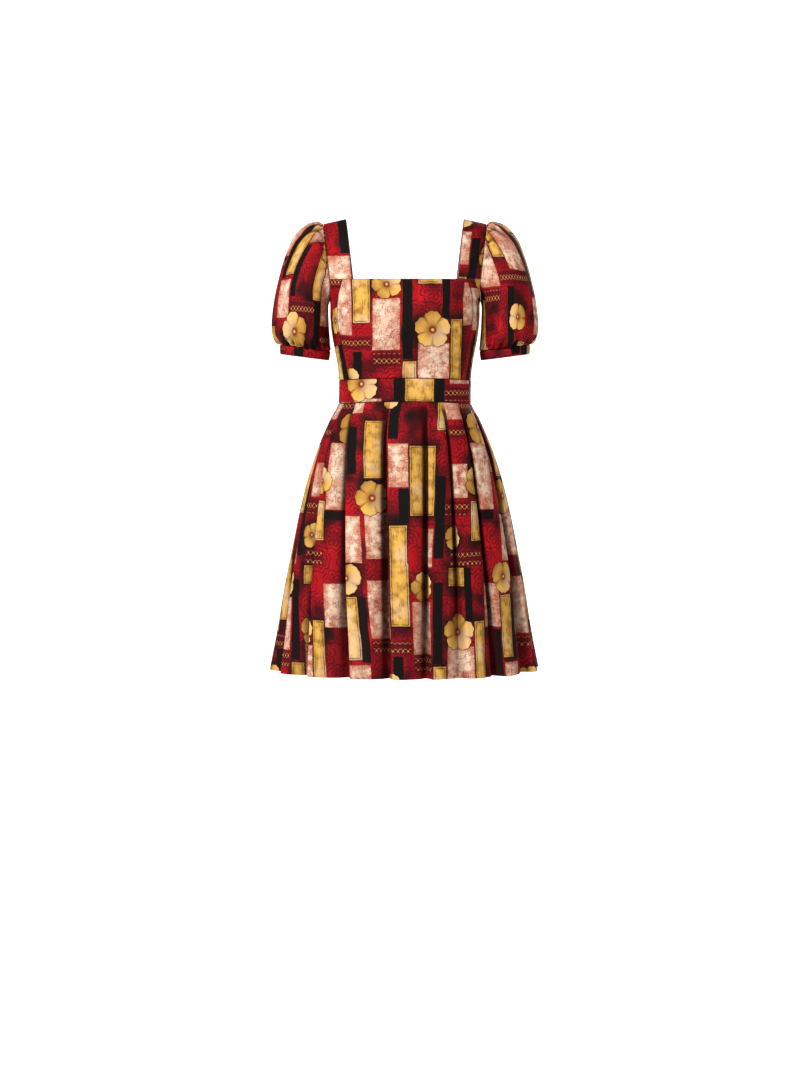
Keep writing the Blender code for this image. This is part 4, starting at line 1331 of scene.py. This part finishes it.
# %% Sew the sleeves and cuffs
turns = np.arange(SLEEVE_COLUMNS) * 2 * math.pi / SLEEVE_COLUMNS
rings = [sleeve_head(turns) + np.array((SEAM_GAP, 0, 0))]
rings += [ellipse(turns, *row) for row in SLEEVE]
rings.append(ellipse(turns, *CUFF[0]) + np.array((0, 0, SEAM_GAP)))
puff = through(np.array(rings), RING_PLACES)
puff_normals = toward(grid_normals(puff, closed=True), puff - puff.mean(axis=1, keepdims=True))
cuff = through(np.array([ellipse(turns, *row) for row in CUFF]), 2 * shares_to_seams(CUFF_ROWS, CUFF_LENGTH))
cuff_normals = toward(grid_normals(cuff, closed=True), cuff - cuff.mean(axis=1, keepdims=True))
from_head = running_length(puff, 0)
from_cuff = from_head[-1:] - from_head
sleeve_cut = sleeve_place(once_round(puff), once_round(-from_cuff))
cuff_down = running_length(once_round(cuff), 0)
cuff_across = running_length(once_round(cuff), 1).mean(axis=0)
cuff_cut = np.stack([np.broadcast_to(cuff_across, cuff_down.shape), cuff_down], axis=-1)
sleeve_hands = (
    # lean and nudge of the gathers in degrees, places of the sleeve's and the cuff's cut on the print
    (120, 0, (0.330, 0.260), (0.020, 0.270)),
    (-90, 7, (0.045, 0.290), (0.130, 0.150)),
)
for (hand, sign), (lean, nudge, sleeve_shift, cuff_shift) in zip(HANDS, sleeve_hands):
    flip = np.array((sign, 1.0, 1.0))
    cap = [(at + nudge, half, length, depth) for at, half, length, depth in CAP_GATHERS]
    low = [(at - nudge, half, length, depth) for at, half, length, depth in CUFF_GATHERS]
    sunk = gathered(turns, from_head, cap, lean) + gathered(turns, from_cuff, low, -lean)
    for away in (from_head, from_cuff):
        sunk *= np.minimum(1.0, EDGE_START + away / GATHER_RISE)
    points = puff - GATHER_DEEPER * sunk[..., None] * puff_normals
    # Painted shade in the gathers' valleys, darker where they sink deeper
    shade = GATHER_SHADE * eased(sunk / GATHER_DARK)
    cloth_piece("sleeve_" + hand, points * flip, puff_normals * flip, sleeve_cut * flip[:2], ("top", "bottom"),
                "gathered", sleeve_shift, ("top",), closed=True, shade=shade)
    cloth_piece("cuff_" + hand, cuff * flip, cuff_normals * flip, cuff_cut * flip[:2], ("top", "bottom"),
                "hung", cuff_shift, ("top",), closed=True)

# %% [markdown]
# ## Zip
# A concealed zip shows only its slider's pull at the top of the centre-back seam. The pull and the slider
# are small die-cast parts, lacquered red, with the lacquer rubbed thin in small scattered patches.

# %% Lacquer the slider and the pull
LACQUER = (0.28, 0.012, 0.014)
BARE_METAL = (0.45, 0.30, 0.24)

zip_lacquer, shader = new_material("zip_lacquer")
place = source(zip_lacquer, "TexCoord", "Object")
worn = stretch(noise(place, 900.0, 3.0), 0.58, 0.68)
wire(blend(worn, LACQUER, BARE_METAL), shader["Base Color"])
wire(stretch(worn, 0.0, 1.0, 0.28, 0.42), shader["Roughness"])
wire(stretch(worn, 0.0, 1.0, 0.1, 0.9), shader["Metallic"])
bumped(shader, noise(place, 2500.0, 2.0), 0.3, 0.0001)
for node in ("zip_slider", "zip_pull"):
    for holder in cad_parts[node].material_slots:
        holder.material = zip_lacquer

# %% [markdown]
# ## Tapes and teeth of the zip
# Inside the seam a woven tape runs down each side of the zip, and the closed teeth lie between the two
# below the slider. One tooth is modelled and copied down the seam. The tapes end on the skirt, at the
# height of the hips, where the centre-back seam closes.

# %% Make the tapes
TAPE_TOP_Z = -0.1138
TAPE_LOW_Z = -0.5050
TAPE_INNER_X = 0.0030
TAPE_OUTER_X = 0.0145
TAPE_DEEP = 0.0024
TAPE_THICKNESS = 0.0006
TAPE_LINES = 3
TAPE_ROWS = 120
TAPE_RED = (0.16, 0.006, 0.010)
TEETH_TOP_Z = -0.1295
TOOTH_PITCH = 0.0018
TOOTH_SIZE = (0.0052, 0.0015, 0.0011)
TOOTH_DEEP = 0.0036
TOOTH_ROUND = 0.0003


def seam_depth(height):
    """Place of the centre-back seam from front to back."""
    if height > SKIRT[0][0]:
        return float(smooth(BODY, 3, height))
    return float(pleat_row(height, 13, 14)[0][0, 1])


tape_red, shader = new_material("zip_tape_red")
cut = source(tape_red, "UVMap", 0, uv_map="cut")
faded = stretch(noise(cut, 260.0, 3.0), 0.35, 0.70, 0.0, 0.5)
wire(blend(faded, TAPE_RED, MAROON), shader["Base Color"])
wire(0.8, shader["Roughness"])
bumped(shader, placed(weave_group, Place=cut)[0], 0.6)

heights = np.linspace(TAPE_TOP_Z, TAPE_LOW_Z, TAPE_ROWS)
seam_y = np.array([seam_depth(height) for height in heights])
x = np.broadcast_to(np.linspace(TAPE_INNER_X, TAPE_OUTER_X, TAPE_LINES), (TAPE_ROWS, TAPE_LINES))
grid = np.stack([x, 0 * x + seam_y[:, None] - TAPE_DEEP, 0 * x + heights[:, None]], axis=-1)
place = np.stack([x, running_length(grid, 0)], axis=-1)
outward = np.broadcast_to((0.0, 1.0, 0.0), grid.shape)
for hand, sign in HANDS:
    flip = np.array((sign, 1.0, 1.0))
    tape = cloth_sheet("zip_tape_" + hand, grid * flip, outward, place * flip[:2], TAPE_THICKNESS,
                       (tape_red, tape_red))
    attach(tape, "root")

# %% Model one tooth and copy it down the seam
bpy.ops.mesh.primitive_cube_add(size=1, location=(0, 0, 0))
teeth = bpy.context.object
teeth.name = "zip_teeth"
teeth.scale = TOOTH_SIZE
bpy.ops.object.transform_apply(scale=True)
rounded = teeth.modifiers.new("rounded edges", "BEVEL")
rounded.width = TOOTH_ROUND
rounded.segments = 2
bpy.ops.object.modifier_apply(modifier=rounded.name)
tooth_points = np.array([corner.co for corner in teeth.data.vertices])
tooth_faces = [list(face.vertices) for face in teeth.data.polygons]
places = np.arange(TEETH_TOP_Z, TAPE_LOW_Z + TOOTH_PITCH, -TOOTH_PITCH)
corners = np.concatenate([tooth_points + (0, seam_depth(z) - TOOTH_DEEP, z) for z in places])
starts = range(0, len(corners), len(tooth_points))
faces = [[corner + start for corner in face] for start in starts for face in tooth_faces]
teeth_mesh = bpy.data.meshes.new("zip_teeth")
teeth_mesh.from_pydata(corners.tolist(), [], faces)
teeth_mesh.materials.append(zip_lacquer)
teeth.data = teeth_mesh
picked(teeth)
bpy.ops.object.shade_smooth_by_angle(angle=SHEET_ANGLE)
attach(teeth, "root")
print("zip teeth", len(places))

# %% [markdown]
# ## Floor, backdrop and light
# The dress hangs in a plain pale studio, over a floor that curves up into the backdrop. A soft light from
# the front, the left and above shapes the folds, and a white surround fills the shadows.

# %% Set the studio
FLOOR_Z = -1.479
WIDE = 8.0
COVE_NEAR = 4.2
COVE_RADIUS = 2.4
COVE_STEPS = 24
WHITE = (1.0, 1.0, 1.0)
SWEEP_GREY = (0.86, 0.86, 0.86)
SWEEP_GLOW = (0.105, 0.105, 0.105)
SURROUND_STRENGTH = 0.17
DRESS_MIDDLE = (0.0, 0.0, -0.4)


def studio_sweep():
    """A pale floor that curves up into the backdrop."""
    profile = [(-WIDE, FLOOR_Z), (COVE_NEAR, FLOOR_Z)]
    for step in range(1, COVE_STEPS + 1):
        turn = math.pi / 2 * step / COVE_STEPS
        rise = COVE_RADIUS * (1 - math.cos(turn))
        profile.append((COVE_NEAR + COVE_RADIUS * math.sin(turn), FLOOR_Z + rise))
    profile.append((COVE_NEAR + COVE_RADIUS, FLOOR_Z + WIDE))
    corners = [(side, y, z) for y, z in profile for side in (-WIDE, WIDE)]
    faces = [(a, a + 1, a + 3, a + 2) for a in range(0, len(corners) - 2, 2)]
    mesh = bpy.data.meshes.new("studio_sweep")
    mesh.from_pydata(corners, [], faces)
    mesh.shade_smooth()
    material, shader = new_material("studio_white")
    wire((*SWEEP_GREY, 1.0), shader["Base Color"])
    wire(0.95, shader["Roughness"])
    wire(1.0, shader["Emission Strength"])
    wire(blend(source(material, "LightPath", "Is Camera Ray"), SWEEP_GLOW, WHITE), shader["Emission Color"])
    mesh.materials.append(material)
    new_item("studio_sweep", mesh)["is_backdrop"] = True


def area_light(name, place, size, power):
    """A square soft light that looks at the middle of the dress."""
    data = bpy.data.lights.new(name, "AREA")
    data.size = size
    data.energy = power
    item = new_item(name, data)
    item.location = place
    away = np.array(DRESS_MIDDLE) - np.array(place)
    turn = math.atan2(-away[0], away[1])
    item.rotation_euler = (math.atan2(math.hypot(away[0], away[1]), -away[2]), 0, turn)


studio_sweep()
area_light("key_light", (-2.1, -3.1, 2.0), 0.6, 225.0)
area_light("fill_light", (3.2, -1.9, 0.9), 1.0, 38.0)
area_light("back_light", (1.6, 3.4, 1.6), 1.2, 110.0)
world = bpy.data.worlds.new("white_surround")
world.use_nodes = True
surround = world.node_tree.nodes["Background"].inputs
wire((*WHITE, 1.0), surround["Color"])
seen = source(world, "LightPath", "Is Camera Ray")
wire(stretch(seen, 0.0, 1.0, SURROUND_STRENGTH, 1.0), surround["Strength"])
bpy.context.scene.world = world
bpy.context.scene.view_settings.view_transform = "Standard"

# %% Print the size of the scene
low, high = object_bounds()
print("visual box", [round(side, 4) for side in high - low])
